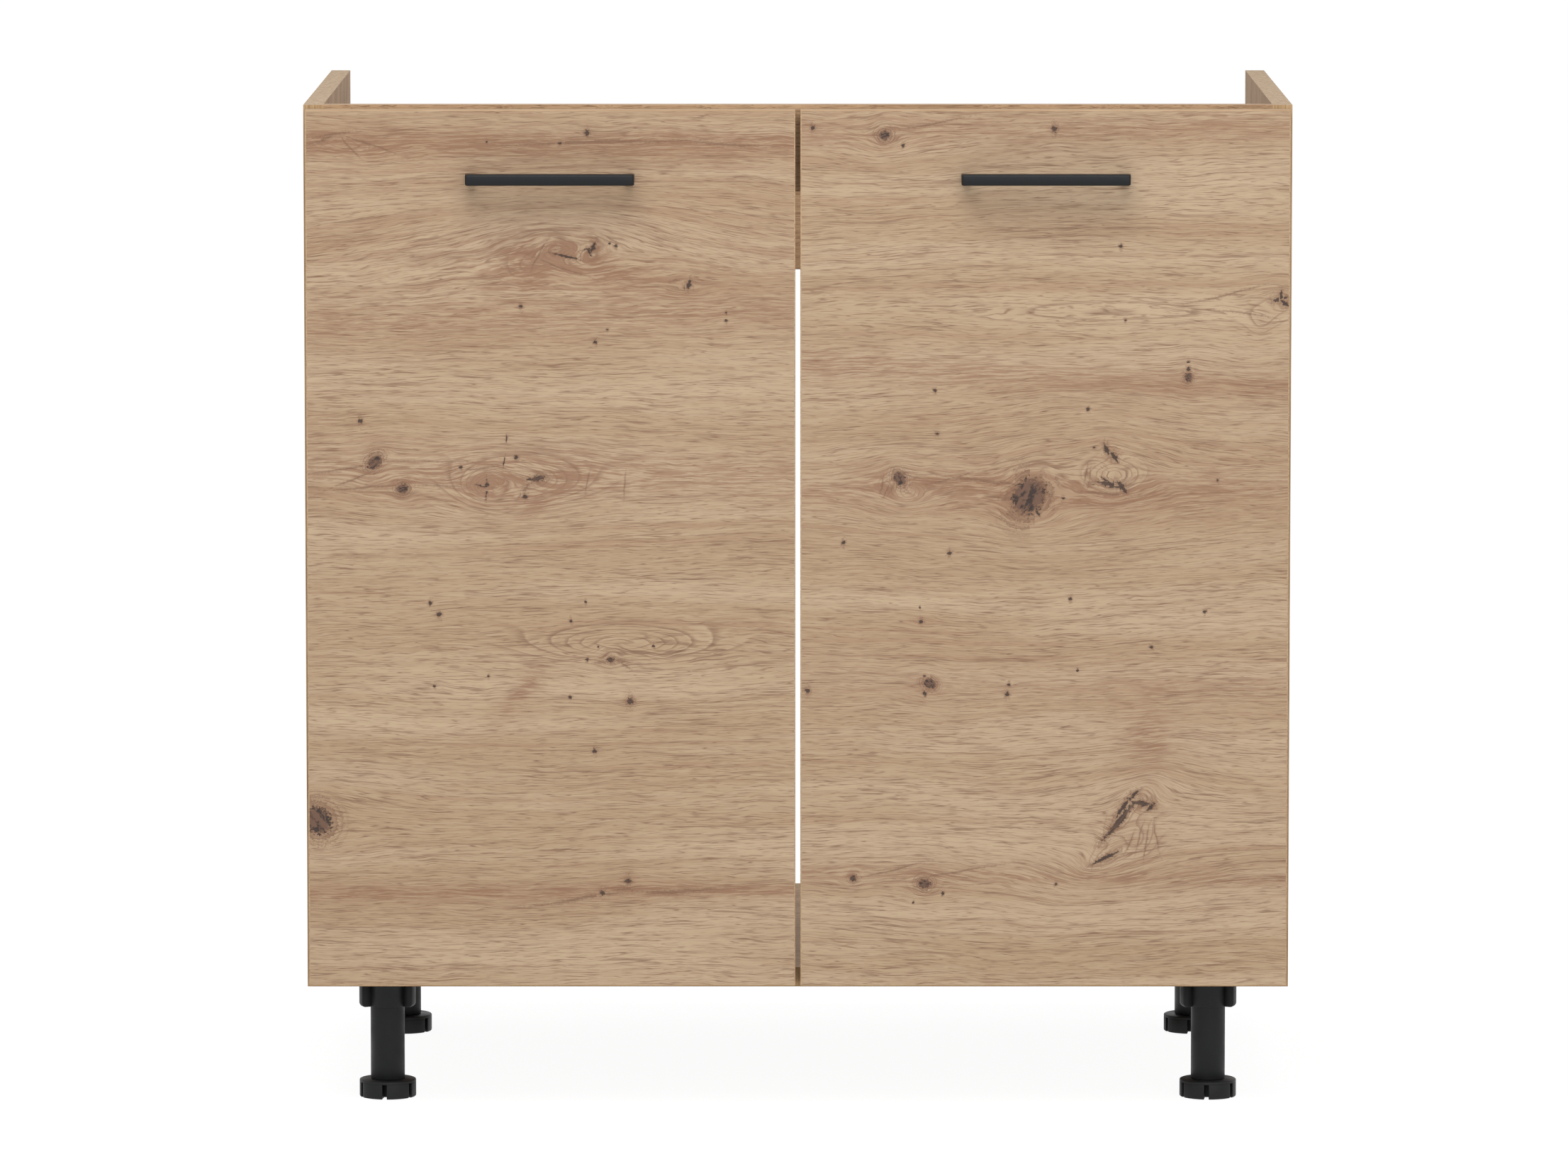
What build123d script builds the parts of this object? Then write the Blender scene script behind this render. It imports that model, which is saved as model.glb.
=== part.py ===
from build123d import *
import os

# Sink base cabinet: a two-door kitchen base unit, open at the top for a sink bowl and at the back
# for the pipes. Millimetres. X runs to the right of someone who faces the doors, Y runs towards the
# wall, Z runs up from the floor. The origin is on the floor, in the middle of the whole unit.

# ---------------------------------------------------------------------------
# Driving sizes: carcass
# ---------------------------------------------------------------------------
cabinet_width = 800.0
carcass_height = 720.0
carcass_depth = 500.0
leg_height = 100.0          # floor to the underside of the carcass
board = 16.0                # thickness of every board
front_rail_height = 70.0
rear_rail_height = 100.0
rear_rail_drop = 70.0       # top of the sides to the top of the rear rail
carcass_band = 0.5          # edge band on the carcass front edges

# ---------------------------------------------------------------------------
# Driving sizes: doors and handles
# ---------------------------------------------------------------------------
door_gap = 2.0              # carcass front to the inner face of the doors
side_reveal = 2.0
centre_gap = 4.0
top_reveal = 3.0
bottom_reveal = 3.0
door_band = 1.0             # edge band round each door

handle_pitch = 128.0        # between the two handle screws
handle_leg = 8.0            # width of each handle leg
handle_bar = 9.0            # height of the bar and the legs
handle_bar_depth = 10.0
handle_reach = 28.0         # door face to the front of the bar
handle_drop = 55.0          # door top to the middle of the bar
handle_corner = 1.8
handle_bevel = 1.6

# ---------------------------------------------------------------------------
# Driving sizes: hinges
# ---------------------------------------------------------------------------
hinge_inset = 100.0         # door top or bottom to the middle of the nearer hinge
cup_bore = 35.0
cup_margin = 5.0            # door edge to the edge of the cup bore
cup_depth = 12.0
cup_wall = 0.8
pocket_half_length = 14.4   # the hollow that the links sink into
pocket_half_width = 8.8
flange_thick = 1.2
flange_half_length = 28.5
flange_front = 15.5         # cup middle to the flange's edge away from the hinge edge
flange_behind = 4.0
flange_corner = 4.0

# Pivots, from the middle of the cup at the door's inner face: X away from the door's hinge edge,
# Y into the cabinet. The swing of the links follows from these four points.
main_arm_pivot = (5.66, 6.74)
main_cup_pivot = (-11.18, -3.77)
side_arm_pivot = (10.83, -6.22)
side_cup_pivot = (-6.03, -6.55)
main_link_bends = [(-5.6, -7.9), (1.3, -6.0)]
side_link_bends = [(2.5, -9.6)]
nose_bends = [(10.9, 3.2)]
# Where the arm's pin wanders in the side link's eye while the door turns, from the closed place
side_eye_play = [
    (0.0, 0.0),
    (-0.27, 1.3),
    (-0.13, 2.2),
    (0.1, 2.7),
    (0.5, 2.93),
    (0.85, 2.7),
    (0.98, 2.2),
    (0.8, 1.3),
]

pivot_pin = 1.1             # radius
link_sheet = 2.4            # of both links, seen along the pins
link_eye = 2.4
eye_wall = 0.8              # round the slot of the side link
main_link_end = -6.6        # the main link's span along the pins, from the hinge's middle
main_link_start = 2.6
side_link_start = 3.4       # the side link lies beside it
side_link_end = 6.6
arm_half_width = 8.5
arm_sheet = 1.4
nose_width = 4.4
arm_height = 15.5           # side panel to the outside of the arm's web
arm_foot = 3.0              # side panel to the edge of the arm's cheeks
arm_front = 10.0            # carcass front to the start of the web
arm_back = 64.0
arm_neck = 17.0             # carcass front to where the cheeks narrow

plate_line = 37.0           # carcass front to the row of plate screws
plate_wing = 2.5
plate_half_length = 26.0
plate_half_width = 8.0
riser_front = 22.0
riser_back = 60.0

# ---------------------------------------------------------------------------
# Driving sizes: legs
# ---------------------------------------------------------------------------
leg_side_inset = 62.5       # outer face of the side panel to the leg
leg_front_inset = 62.5
leg_back_inset = 81.0
socket_flange = 60.0        # width of its square
socket_flange_corner = 14.0
socket_flange_thick = 3.0
socket_sleeve = 15.4
socket_drop = 25.0          # underside of the carcass to the end of the sleeve
lug_radius = 23.25
lug_spread = 60.0           # degrees that each lug covers

tube_radius = 14.0
tube_bore_depth = 50.0      # room for the foot's stem
foot_radius = 23.25
foot_height = 14.6
foot_skin = 2.3             # solid top of the foot above its slots
foot_hub = 12.0
foot_slot = 3.65
foot_slots = 6
foot_turn = -5.0            # degrees, how the feet happen to stand
stem_radius = 5.0
stem_length = 45.0

# ---------------------------------------------------------------------------
# Clearances
# ---------------------------------------------------------------------------
cup_fit = 0.1               # radial, between a hinge cup and its bore in the door
pin_fit = 0.1               # radial, round a turning pin
thread_fit = 0.1            # radial, between the foot's stem and the leg tube
face_fit = 0.3              # between faces that come close but don't carry each other

# ---------------------------------------------------------------------------
# Places that follow from the sizes
# ---------------------------------------------------------------------------
half_width = cabinet_width / 2
inner_half = half_width - board
overall_depth = carcass_depth + door_gap + board + handle_reach
back = overall_depth / 2
front = back - carcass_depth
bottom = leg_height
top = leg_height + carcass_height
front_rail_low = top - front_rail_height
rear_rail_top = top - rear_rail_drop
rear_rail_low = rear_rail_top - rear_rail_height

door_width = half_width - side_reveal - centre_gap / 2
door_height = carcass_height - top_reveal - bottom_reveal
door_bottom = bottom + bottom_reveal
door_top = door_bottom + door_height
door_middle = (centre_gap / 2 + half_width - side_reveal) / 2
door_level = (door_bottom + door_top) / 2
door_inner = front - door_gap
door_face = door_inner - board

ways = {"left": -1, "right": 1}
hinge_levels = {"lower": door_bottom + hinge_inset, "upper": door_top - hinge_inset}
cup_inset = side_reveal + cup_margin + cup_bore / 2

bottom_line = bottom + board / 2
leg_spots = {
    "front_left": (-half_width + leg_side_inset, front + leg_front_inset),
    "front_right": (half_width - leg_side_inset, front + leg_front_inset),
    "rear_left": (-half_width + leg_side_inset, back - leg_back_inset),
    "rear_right": (half_width - leg_side_inset, back - leg_back_inset),
}


def facing_front(y):
    """A plane at y that looks at someone in front, so that its X and Y are the cabinet's X and Z."""
    return Plane(origin=(0, y, 0), x_dir=(1, 0, 0), z_dir=(0, -1, 0))


def hinge_plane(way, level):
    """The middle plane of one hinge: X from the side's outer face, Y from the carcass front."""
    return Plane(origin=(way * half_width, front, level), x_dir=(-way, 0, 0), z_dir=(0, 0, -way))


def from_cup(point):
    """A point given from the middle of the cup, on a hinge plane."""
    return (cup_inset + point[0], -door_gap + point[1])


def save(part, name):
    """Label one finished piece and write it to its own file."""
    part.label = name
    export_step(part, "parts/" + name + ".step")


os.makedirs("parts", exist_ok=True)

# ---------------------------------------------------------------------------
# Carcass boards
# ---------------------------------------------------------------------------
middle_depth = (front + carcass_band + back) / 2
board_depth = carcass_depth - carcass_band

for side, way in ways.items():
    with BuildPart() as side_panel:
        with BuildSketch(Plane.XY.offset(bottom)):
            with Locations((way * (half_width - board / 2), middle_depth)):
                Rectangle(board, board_depth)
        extrude(amount=carcass_height)
    save(side_panel.part, "side_panel_" + side)

with BuildPart() as bottom_panel:
    with BuildSketch(Plane.XY.offset(bottom)):
        with Locations((0, middle_depth)):
            Rectangle(2 * inner_half, board_depth)
    extrude(amount=board)
save(bottom_panel.part, "bottom_panel")

with BuildPart() as front_rail:
    with BuildSketch(Plane.XY.offset(front_rail_low)):
        with Locations((0, front + board / 2)):
            Rectangle(2 * inner_half, board)
    extrude(amount=front_rail_height)
save(front_rail.part, "front_rail")

with BuildPart() as rear_rail:
    with BuildSketch(Plane.XY.offset(rear_rail_low)):
        with Locations((0, back - board / 2)):
            Rectangle(2 * inner_half, board)
    extrude(amount=rear_rail_height)
save(rear_rail.part, "rear_rail")

with BuildPart() as carcass_edging:
    with BuildSketch(facing_front(front)):
        for way in ways.values():
            with Locations((way * (half_width - board / 2), (bottom + top) / 2)):
                Rectangle(board, carcass_height)
        with Locations((0, bottom_line)):
            Rectangle(2 * inner_half, board)
    extrude(amount=-carcass_band)
save(carcass_edging.part, "carcass_edging")

# ---------------------------------------------------------------------------
# Legs: posts under the bottom board and the feet that are screwed into them
# ---------------------------------------------------------------------------
with BuildSketch() as lugs:
    with BuildLine():
        rim = CenterArc((0, 0), lug_radius, -lug_spread / 2, lug_spread)
        Line((0, 0), rim @ 0)
        Line(rim @ 1, (0, 0))
    make_face()
    mirror(about=Plane.YZ)
socket_lugs = lugs.sketch

with BuildPart() as leg_posts:
    with BuildSketch(Plane.XY.offset(bottom)):
        with Locations(*leg_spots.values()):
            socket_plates = Rectangle(socket_flange, socket_flange)
        chamfer(socket_plates.vertices(), socket_flange_corner)
    extrude(amount=-socket_flange_thick)
    with BuildSketch(Plane.XY.offset(bottom)):
        with Locations(*leg_spots.values()):
            Circle(socket_sleeve)
            add(socket_lugs)
    extrude(amount=-socket_drop)
    with BuildSketch(Plane.XY.offset(foot_height)):
        with Locations(*leg_spots.values()):
            Circle(tube_radius)
    extrude(amount=bottom - foot_height)
    with BuildSketch(Plane.XY.offset(foot_height)):
        with Locations(*leg_spots.values()):
            Circle(stem_radius + thread_fit)
    extrude(amount=tube_bore_depth, mode=Mode.SUBTRACT)
save(leg_posts.part, "leg_posts")

for spot, (x, y) in leg_spots.items():
    with BuildPart() as leg_foot:
        with BuildSketch(Plane((x, y, 0))):
            Circle(foot_radius)
        extrude(amount=foot_height)
        with BuildSketch(Plane((x, y, 0))):
            with PolarLocations(foot_hub, foot_slots, 90 + foot_turn):
                Rectangle(foot_radius, foot_slot, align=(Align.MIN, Align.CENTER))
        extrude(amount=foot_height - foot_skin, mode=Mode.SUBTRACT)
        with BuildSketch(Plane((x, y, foot_height))):
            Circle(stem_radius)
        extrude(amount=stem_length)
    save(leg_foot.part, "leg_foot_" + spot)

# ---------------------------------------------------------------------------
# Doors with their edge bands and handles
# ---------------------------------------------------------------------------
inner_face = facing_front(door_inner)

for side, way in ways.items():
    with BuildPart() as door:
        with BuildSketch(inner_face):
            with Locations((way * door_middle, door_level)):
                Rectangle(door_width - 2 * door_band, door_height - 2 * door_band)
        extrude(amount=board)
        with BuildSketch(inner_face):
            for level in hinge_levels.values():
                with Locations((way * (half_width - cup_inset), level)):
                    Circle(cup_bore / 2)
        extrude(amount=cup_depth + face_fit, mode=Mode.SUBTRACT)
    save(door.part, "door_" + side)

    with BuildPart() as door_edging:
        with BuildSketch(inner_face):
            with Locations((way * door_middle, door_level)):
                Rectangle(door_width, door_height)
                Rectangle(door_width - 2 * door_band, door_height - 2 * door_band, mode=Mode.SUBTRACT)
        extrude(amount=board)
    save(door_edging.part, "door_edging_" + side)

    with BuildPart() as handle:
        with BuildSketch(Plane.XY.offset(door_top - handle_drop - handle_bar / 2)):
            with Locations((way * door_middle, door_face - handle_reach / 2)):
                Rectangle(handle_pitch + handle_leg, handle_reach)
            with Locations((way * door_middle, door_face)):
                Rectangle(
                    handle_pitch - handle_leg,
                    2 * (handle_reach - handle_bar_depth),
                    mode=Mode.SUBTRACT,
                )
        extrude(amount=handle_bar)
        corners = handle.edges().filter_by(Axis.Z).group_by(Axis.Y)[0]
        fillet(corners, handle_corner)
        rims = handle.faces().sort_by(Axis.Y)[0].edges().filter_by(Axis.X)
        chamfer(rims, handle_bevel)
    save(handle.part, "handle_" + side)

# ---------------------------------------------------------------------------
# Hinges: cup and links on the door's side, arm and plate on the side panel
# ---------------------------------------------------------------------------
cheek_inner = arm_half_width - arm_sheet
web_outer = board + arm_height
web_inner = web_outer - arm_sheet
stub_start = (main_link_start + side_link_start) / 2


def strap(first, bends, last, thick):
    """A strip of even thickness that runs past its bends from one pivot to the other."""
    line = Polyline([from_cup(point) for point in (first, *bends, last)])
    with BuildSketch() as outline:
        make_face(line.offset_2d(thick / 2, kind=Kind.INTERSECTION))
    return outline.sketch


def slot_outline(radius):
    """An eight-sided eye of this radius, drawn out as far as the arm's pin wanders in it."""
    with BuildSketch() as outline:
        for step in side_eye_play:
            with Locations(from_cup((side_arm_pivot[0] + step[0], side_arm_pivot[1] + step[1]))):
                RegularPolygon(radius, 8, major_radius=False)
        make_hull()
    return outline.sketch


main_strap = strap(main_cup_pivot, main_link_bends, main_arm_pivot, link_sheet)
side_strap = strap(side_cup_pivot, side_link_bends, side_arm_pivot, link_sheet)
nose_strap = strap(main_arm_pivot, nose_bends, side_arm_pivot, nose_width)

with BuildSketch() as main_link_outline:
    add(main_strap)
    with Locations(from_cup(main_cup_pivot), from_cup(main_arm_pivot)):
        Circle(link_eye)
        Circle(pivot_pin + pin_fit, mode=Mode.SUBTRACT)

with BuildSketch() as side_link_outline:
    add(side_strap)
    add(slot_outline(pivot_pin + pin_fit + eye_wall))
    add(slot_outline(pivot_pin + pin_fit), mode=Mode.SUBTRACT)
    with Locations(from_cup(side_cup_pivot)):
        Circle(link_eye)
        Circle(pivot_pin + pin_fit, mode=Mode.SUBTRACT)

with BuildSketch() as neck_outline:
    with Locations(from_cup(main_arm_pivot)):
        Circle(nose_width / 2)
    with Locations((web_outer, arm_neck)):
        Rectangle(arm_height - 2 * arm_foot, arm_sheet, align=(Align.MAX, Align.MIN))
    make_hull()

with BuildSketch() as cheek_outline:
    with Locations((web_outer, arm_neck)):
        Rectangle(arm_height - arm_foot, arm_back - arm_neck, align=(Align.MAX, Align.MIN))
    add(neck_outline.sketch)
    add(nose_strap)


def hinge_middles(way):
    """The middle planes of both hinges of one door."""
    return [hinge_plane(way, level) for level in hinge_levels.values()]


def placed(outline, middle, height):
    """An outline moved to a hinge's middle plane, or beside it."""
    return middle.offset(height) * outline.sketch


for side, way in ways.items():
    with BuildPart() as hinge_cups:
        for level in hinge_levels.values():
            middle = hinge_plane(way, level)
            # Out of the door into the cabinet, with its X away from the door's hinge edge
            door_side = Plane(
                origin=(way * (half_width - cup_inset), door_inner, level),
                x_dir=(-way, 0, 0),
                z_dir=(0, 1, 0),
            )
            with BuildSketch(door_side):
                Circle(cup_bore / 2 - cup_fit)
            extrude(amount=-cup_depth)
            with BuildSketch(door_side):
                with Locations(((flange_front - flange_behind) / 2, 0)):
                    wings = Rectangle(flange_front + flange_behind, 2 * flange_half_length)
                chamfer(wings.vertices(), flange_corner)
            extrude(amount=flange_thick)
            with BuildSketch(door_side.offset(flange_thick)):
                Rectangle(2 * pocket_half_length, 2 * pocket_half_width)
            extrude(amount=-(cup_depth + flange_thick - cup_wall), mode=Mode.SUBTRACT)
            with BuildSketch(middle):
                with Locations(from_cup(main_cup_pivot)):
                    Circle(pivot_pin)
            extrude(amount=pocket_half_width, both=True)
            with BuildSketch(middle.offset(stub_start)):
                with Locations(from_cup(side_cup_pivot)):
                    Circle(pivot_pin)
            extrude(amount=pocket_half_width - stub_start)
    save(hinge_cups.part, "hinge_cups_" + side)

    with BuildPart() as hinge_main_links:
        for middle in hinge_middles(way):
            strip = placed(main_link_outline, middle, main_link_end)
            extrude(strip, amount=main_link_start - main_link_end)
    save(hinge_main_links.part, "hinge_main_links_" + side)

    with BuildPart() as hinge_side_links:
        for middle in hinge_middles(way):
            strip = placed(side_link_outline, middle, side_link_start)
            extrude(strip, amount=side_link_end - side_link_start)
    save(hinge_side_links.part, "hinge_side_links_" + side)

    with BuildPart() as hinge_arms:
        for middle in hinge_middles(way):
            extrude(placed(cheek_outline, middle, cheek_inner), amount=arm_sheet)
            extrude(placed(cheek_outline, middle, -arm_half_width), amount=arm_sheet)
            with BuildSketch(middle):
                with Locations((web_outer, arm_front)):
                    Rectangle(arm_sheet, arm_back - arm_front, align=(Align.MAX, Align.MIN))
                with Locations(from_cup(main_arm_pivot)):
                    Circle(pivot_pin)
            extrude(amount=cheek_inner, both=True)
            with BuildSketch(middle.offset(stub_start)):
                with Locations(from_cup(side_arm_pivot)):
                    Circle(pivot_pin)
            extrude(amount=cheek_inner - stub_start)
    save(hinge_arms.part, "hinge_arms_" + side)

    with BuildPart() as hinge_plates:
        for middle in hinge_middles(way):
            with BuildSketch(middle):
                with Locations((board, plate_line)):
                    Rectangle(plate_wing, 2 * plate_half_width, align=(Align.MIN, Align.CENTER))
            extrude(amount=plate_half_length, both=True)
            with BuildSketch(middle):
                with Locations((board, riser_front)):
                    Rectangle(web_inner - board, riser_back - riser_front, align=(Align.MIN, Align.MIN))
            extrude(amount=cheek_inner - face_fit, both=True)
    save(hinge_plates.part, "hinge_plates_" + side)
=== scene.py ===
# %% [markdown]
# # A kitchen sink base cabinet
# This lesson dresses a finished CAD model of a kitchen cabinet for a picture. The cabinet stands under
# a sink: it has two doors, no top and no back, and four plastic legs. The CAD model gives every board,
# door, hinge and leg in its true place. Blender adds what a picture needs: rounded edges, screws,
# the thread of the feet, and materials such as oak decor, moulded plastic and nickel-plated steel.

# %% Load the cabinet
import bpy
import bmesh
import math
import numpy
from mathutils import Matrix, Vector


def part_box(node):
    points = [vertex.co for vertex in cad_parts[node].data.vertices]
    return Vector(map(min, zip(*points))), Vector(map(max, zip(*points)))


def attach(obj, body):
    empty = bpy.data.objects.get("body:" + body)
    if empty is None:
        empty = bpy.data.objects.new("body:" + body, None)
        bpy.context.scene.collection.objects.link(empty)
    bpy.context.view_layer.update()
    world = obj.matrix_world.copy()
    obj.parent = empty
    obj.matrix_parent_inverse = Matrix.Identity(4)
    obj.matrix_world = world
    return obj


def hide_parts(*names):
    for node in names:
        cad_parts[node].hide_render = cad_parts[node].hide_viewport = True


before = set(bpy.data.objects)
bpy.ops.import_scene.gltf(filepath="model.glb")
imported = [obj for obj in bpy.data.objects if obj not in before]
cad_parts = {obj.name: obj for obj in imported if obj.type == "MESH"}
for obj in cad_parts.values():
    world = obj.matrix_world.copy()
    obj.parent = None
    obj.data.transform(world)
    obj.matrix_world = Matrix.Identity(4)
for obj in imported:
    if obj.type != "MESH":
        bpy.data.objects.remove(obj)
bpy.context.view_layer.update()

# %% [markdown]
# ## Sizes
# Blender works in metres, but a cabinet maker thinks in millimetres. So each piece is built in
# millimetres and made small at the end. Where a new piece has to fit the CAD model, its place is read
# from the CAD node's own box, so that the two can't drift apart.

# %% Read the places of the CAD nodes in millimetres
def span(name):
    """The lowest and the highest corner of a CAD node, in millimetres."""
    low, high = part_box(name)
    return low * 1000, high * 1000


carcass_low, _ = span("side_panel_left")
_, carcass_high = span("side_panel_right")
carcass_front = span("carcass_edging")[0].y
board = span("bottom_panel")[1].z - span("bottom_panel")[0].z
door_inner = span("door_left")[1].y
door_face = span("door_left")[0].y
leg_names = ["front_left", "front_right", "rear_left", "rear_right"]
leg_centres = {}
for name in leg_names:
    low, high = span("leg_foot_" + name)
    leg_centres[name] = (low + high) / 2
print("carcass", [round(v) for v in carcass_low], [round(v) for v in carcass_high])
print("legs at", {k: (round(v.x, 1), round(v.y, 1)) for k, v in leg_centres.items()})

# %% [markdown]
# ## Finishing a piece
# Every new piece ends in the same way. Vertices that fell on each other are merged, the faces are
# turned outwards, the mesh shrinks from millimetres to metres, and edges sharper than a set angle stay
# sharp while the rest is shaded smooth. Then the piece is tied to the body that it moves with.

# %% A helper that finishes a piece
materials = {}


def add_object(name, data):
    """A new object in the scene, at the origin."""
    made = bpy.data.objects.new(name, data)
    bpy.context.scene.collection.objects.link(made)
    return made


def finish_piece(bm, name, body, finish, instead_of=(), sharp=32):
    """Turn a bmesh in millimetres into a finished piece that rides on a CAD body."""
    bmesh.ops.remove_doubles(bm, verts=bm.verts, dist=0.002)
    bmesh.ops.recalc_face_normals(bm, faces=bm.faces)
    bmesh.ops.scale(bm, vec=(0.001, 0.001, 0.001), verts=bm.verts)
    mesh = bpy.data.meshes.new(name)
    bm.to_mesh(mesh)
    bm.free()
    mesh.shade_smooth()
    mesh.set_sharp_from_angle(angle=math.radians(sharp))
    piece = add_object(name, mesh)
    mesh.materials.append(materials[finish])
    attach(piece, body)
    for node in instead_of:
        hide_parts(node)
    print(f"{name}: {len(mesh.polygons)} faces")
    return piece


def join_copy(target, source, place):
    """Add a moved copy of one bmesh to another, which is how one screw becomes sixteen."""
    mesh = bpy.data.meshes.new("copy")
    source.to_mesh(mesh)
    mesh.transform(place)
    target.from_mesh(mesh)
    bpy.data.meshes.remove(mesh)


def verts_in(geometry):
    """Only the vertices of a mixed list."""
    return [v for v in geometry if isinstance(v, bmesh.types.BMVert)]


def open_edges(bm):
    """The edges with a face on one side only, where a mesh isn't closed yet."""
    return [e for e in bm.edges if e.is_boundary]


def round_off(bm, parts, width, segments, affect="EDGES", clamp=False):
    """Round edges or corners. One segment makes a flat bevel."""
    bmesh.ops.bevel(bm, geom=parts, offset=width, affect=affect, segments=segments, profile=0.5,
                    material=-1, clamp_overlap=clamp)


for finish in ("oak_upright", "oak_level", "oak_rail", "door_left", "door_right", "band", "band_upright",
               "plastic", "handle", "steel", "cap", "buffer"):
    materials[finish] = bpy.data.materials.new(finish)

# %% [markdown]
# ## Bow handles
# A bow handle is a bar on two short legs. It starts as a box as long as the bar. Two cuts mark off
# the ends, and the back faces of these ends are drawn towards the door as the legs. The outer corners
# get a small radius, the long front edges a flat bevel that catches the light, and at last every
# remaining edge gets a hair-thin rounding, because powder coat never leaves an edge knife-sharp.

# %% Model the handles
handle_bar_depth = 10.0
handle_leg_width = 8.0
handle_corner = 1.8
handle_bevel = 1.6
handle_taper = 0.7
coat_round = 0.3


def edges_where(bm, test):
    """The edges whose two ends both pass a test."""
    return [e for e in bm.edges if test(e.verts[0].co) and test(e.verts[1].co)]


def bow_handle(low, high):
    """A bow handle that fills the box of its CAD node."""
    bm = bmesh.new()
    bmesh.ops.create_cube(bm, size=1)
    length = high.x - low.x
    bmesh.ops.scale(bm, vec=(length, handle_bar_depth, high.z - low.z), verts=bm.verts)
    middle = Vector(((low.x + high.x) / 2, low.y + handle_bar_depth / 2, (low.z + high.z) / 2))
    bmesh.ops.translate(bm, vec=middle, verts=bm.verts)
    inner = length / 2 - handle_leg_width
    for way in (-1, 1):
        geometry = bm.verts[:] + bm.edges[:] + bm.faces[:]
        cut = (middle.x + way * inner, middle.y, middle.z)
        bmesh.ops.bisect_plane(bm, geom=geometry, plane_co=cut, plane_no=(1, 0, 0))
    ends = [f for f in bm.faces if f.normal.y > 0.9 and abs(f.calc_center_median().x - middle.x) > inner]
    drawn = bmesh.ops.extrude_discrete_faces(bm, faces=ends)["faces"]
    reach = high.y - low.y - handle_bar_depth
    feet = [v for f in drawn for v in f.verts]
    bmesh.ops.translate(bm, vec=(0, reach, 0), verts=feet)
    taper = Matrix.Diagonal((1, 1, handle_taper, 1))
    slimmer = Matrix.Translation(middle) @ taper @ Matrix.Translation(-middle)
    bmesh.ops.transform(bm, matrix=slimmer, verts=feet)
    front = edges_where(bm, lambda p: p.y < low.y + 0.01)
    corners = [e for e in front if abs(e.verts[0].co.x - middle.x) > inner + 1
               and abs(e.verts[0].co.z - e.verts[1].co.z) > 1]
    round_off(bm, corners, handle_corner, 6)
    rims = [e for e in bm.edges if e.is_manifold and e.calc_face_angle() > 1.2
            and max(v.co.y for v in e.verts) < low.y + handle_corner + 0.01
            and abs(e.verts[0].co.z - e.verts[1].co.z) < 0.01]
    round_off(bm, rims, handle_bevel, 2)
    sharp = [e for e in bm.edges if e.is_manifold and e.calc_face_angle() > 0.6
             and max(v.co.y for v in e.verts) < high.y - 0.01]
    round_off(bm, sharp, coat_round, 2)
    return bm


for side in ("left", "right"):
    node = "handle_" + side
    finish_piece(bow_handle(*span(node)), "bow_" + node, side + "_door", "handle",
                 instead_of=[node])

# %% [markdown]
# ## Cross-head screws
# Screws hold the hinges, the legs and the handles. One good head is modelled once and copied. It
# starts as a grid of five by five faces. The grid's rim is pulled onto a circle, the faces that form
# a plus in the middle are pushed down as the cross recess, and the rim is drawn down to the seat.

# %% Model one screw head
def screw_head(radius, height):
    """A low round screw head on the XY plane, with its cross recess facing up."""
    bm = bmesh.new()
    bmesh.ops.create_grid(bm, x_segments=5, y_segments=5, size=1)
    for vert in bm.verts:
        reach = max(abs(vert.co.x), abs(vert.co.y))
        if reach > 0.5:
            vert.co *= reach / vert.co.length
        else:
            vert.co.x *= 0.62
            vert.co.y *= 0.62
    arms = [f for f in bm.faces if min(abs(f.calc_center_median().x), abs(f.calc_center_median().y)) < 0.1
            and f.calc_center_median().length < 0.7]
    bmesh.ops.scale(bm, vec=(radius, radius, 1), verts=bm.verts)
    for vert in bm.verts:
        vert.co.z = height * (1 - 0.35 * (vert.co.xy.length / radius) ** 2)
    sunk = bmesh.ops.extrude_face_region(bm, geom=arms)["geom"]
    bottom = verts_in(sunk)
    bmesh.ops.scale(bm, vec=(0.8, 0.8, 1), verts=bottom)
    bmesh.ops.translate(bm, vec=(0, 0, -0.7 * height), verts=bottom)
    bmesh.ops.delete(bm, geom=arms, context="FACES")
    rim = open_edges(bm)
    drawn = bmesh.ops.extrude_edge_only(bm, edges=rim)["geom"]
    for vert in verts_in(drawn):
        vert.co.z = 0
    bmesh.ops.holes_fill(bm, edges=open_edges(bm), sides=0)
    return bm


def look_along(place, direction):
    """The matrix that moves a head from the XY plane to a place, facing a direction."""
    turn = Vector((0, 0, 1)).rotation_difference(Vector(direction))
    return Matrix.Translation(place) @ turn.to_matrix().to_4x4()


def screw_set(places, radius, height):
    """Copies of one head at each (place, direction, turn in degrees)."""
    bm = bmesh.new()
    head = screw_head(radius, height)
    for place, direction, turn in places:
        own_turn = Matrix.Rotation(math.radians(turn), 4, "Z")
        join_copy(bm, head, look_along(Vector(place), direction) @ own_turn)
    head.free()
    return bm


# %% [markdown]
# ## Screws that hold the fittings
# Two screws hold each handle from inside the door, two hold each hinge cup and each hinge plate, and
# two more in the arm set the door sideways and in depth. Their places follow from the hinges' own
# boxes and from the sizes that hinges share: 48 mm between the cup screws and 32 mm between the plate screws.

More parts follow.
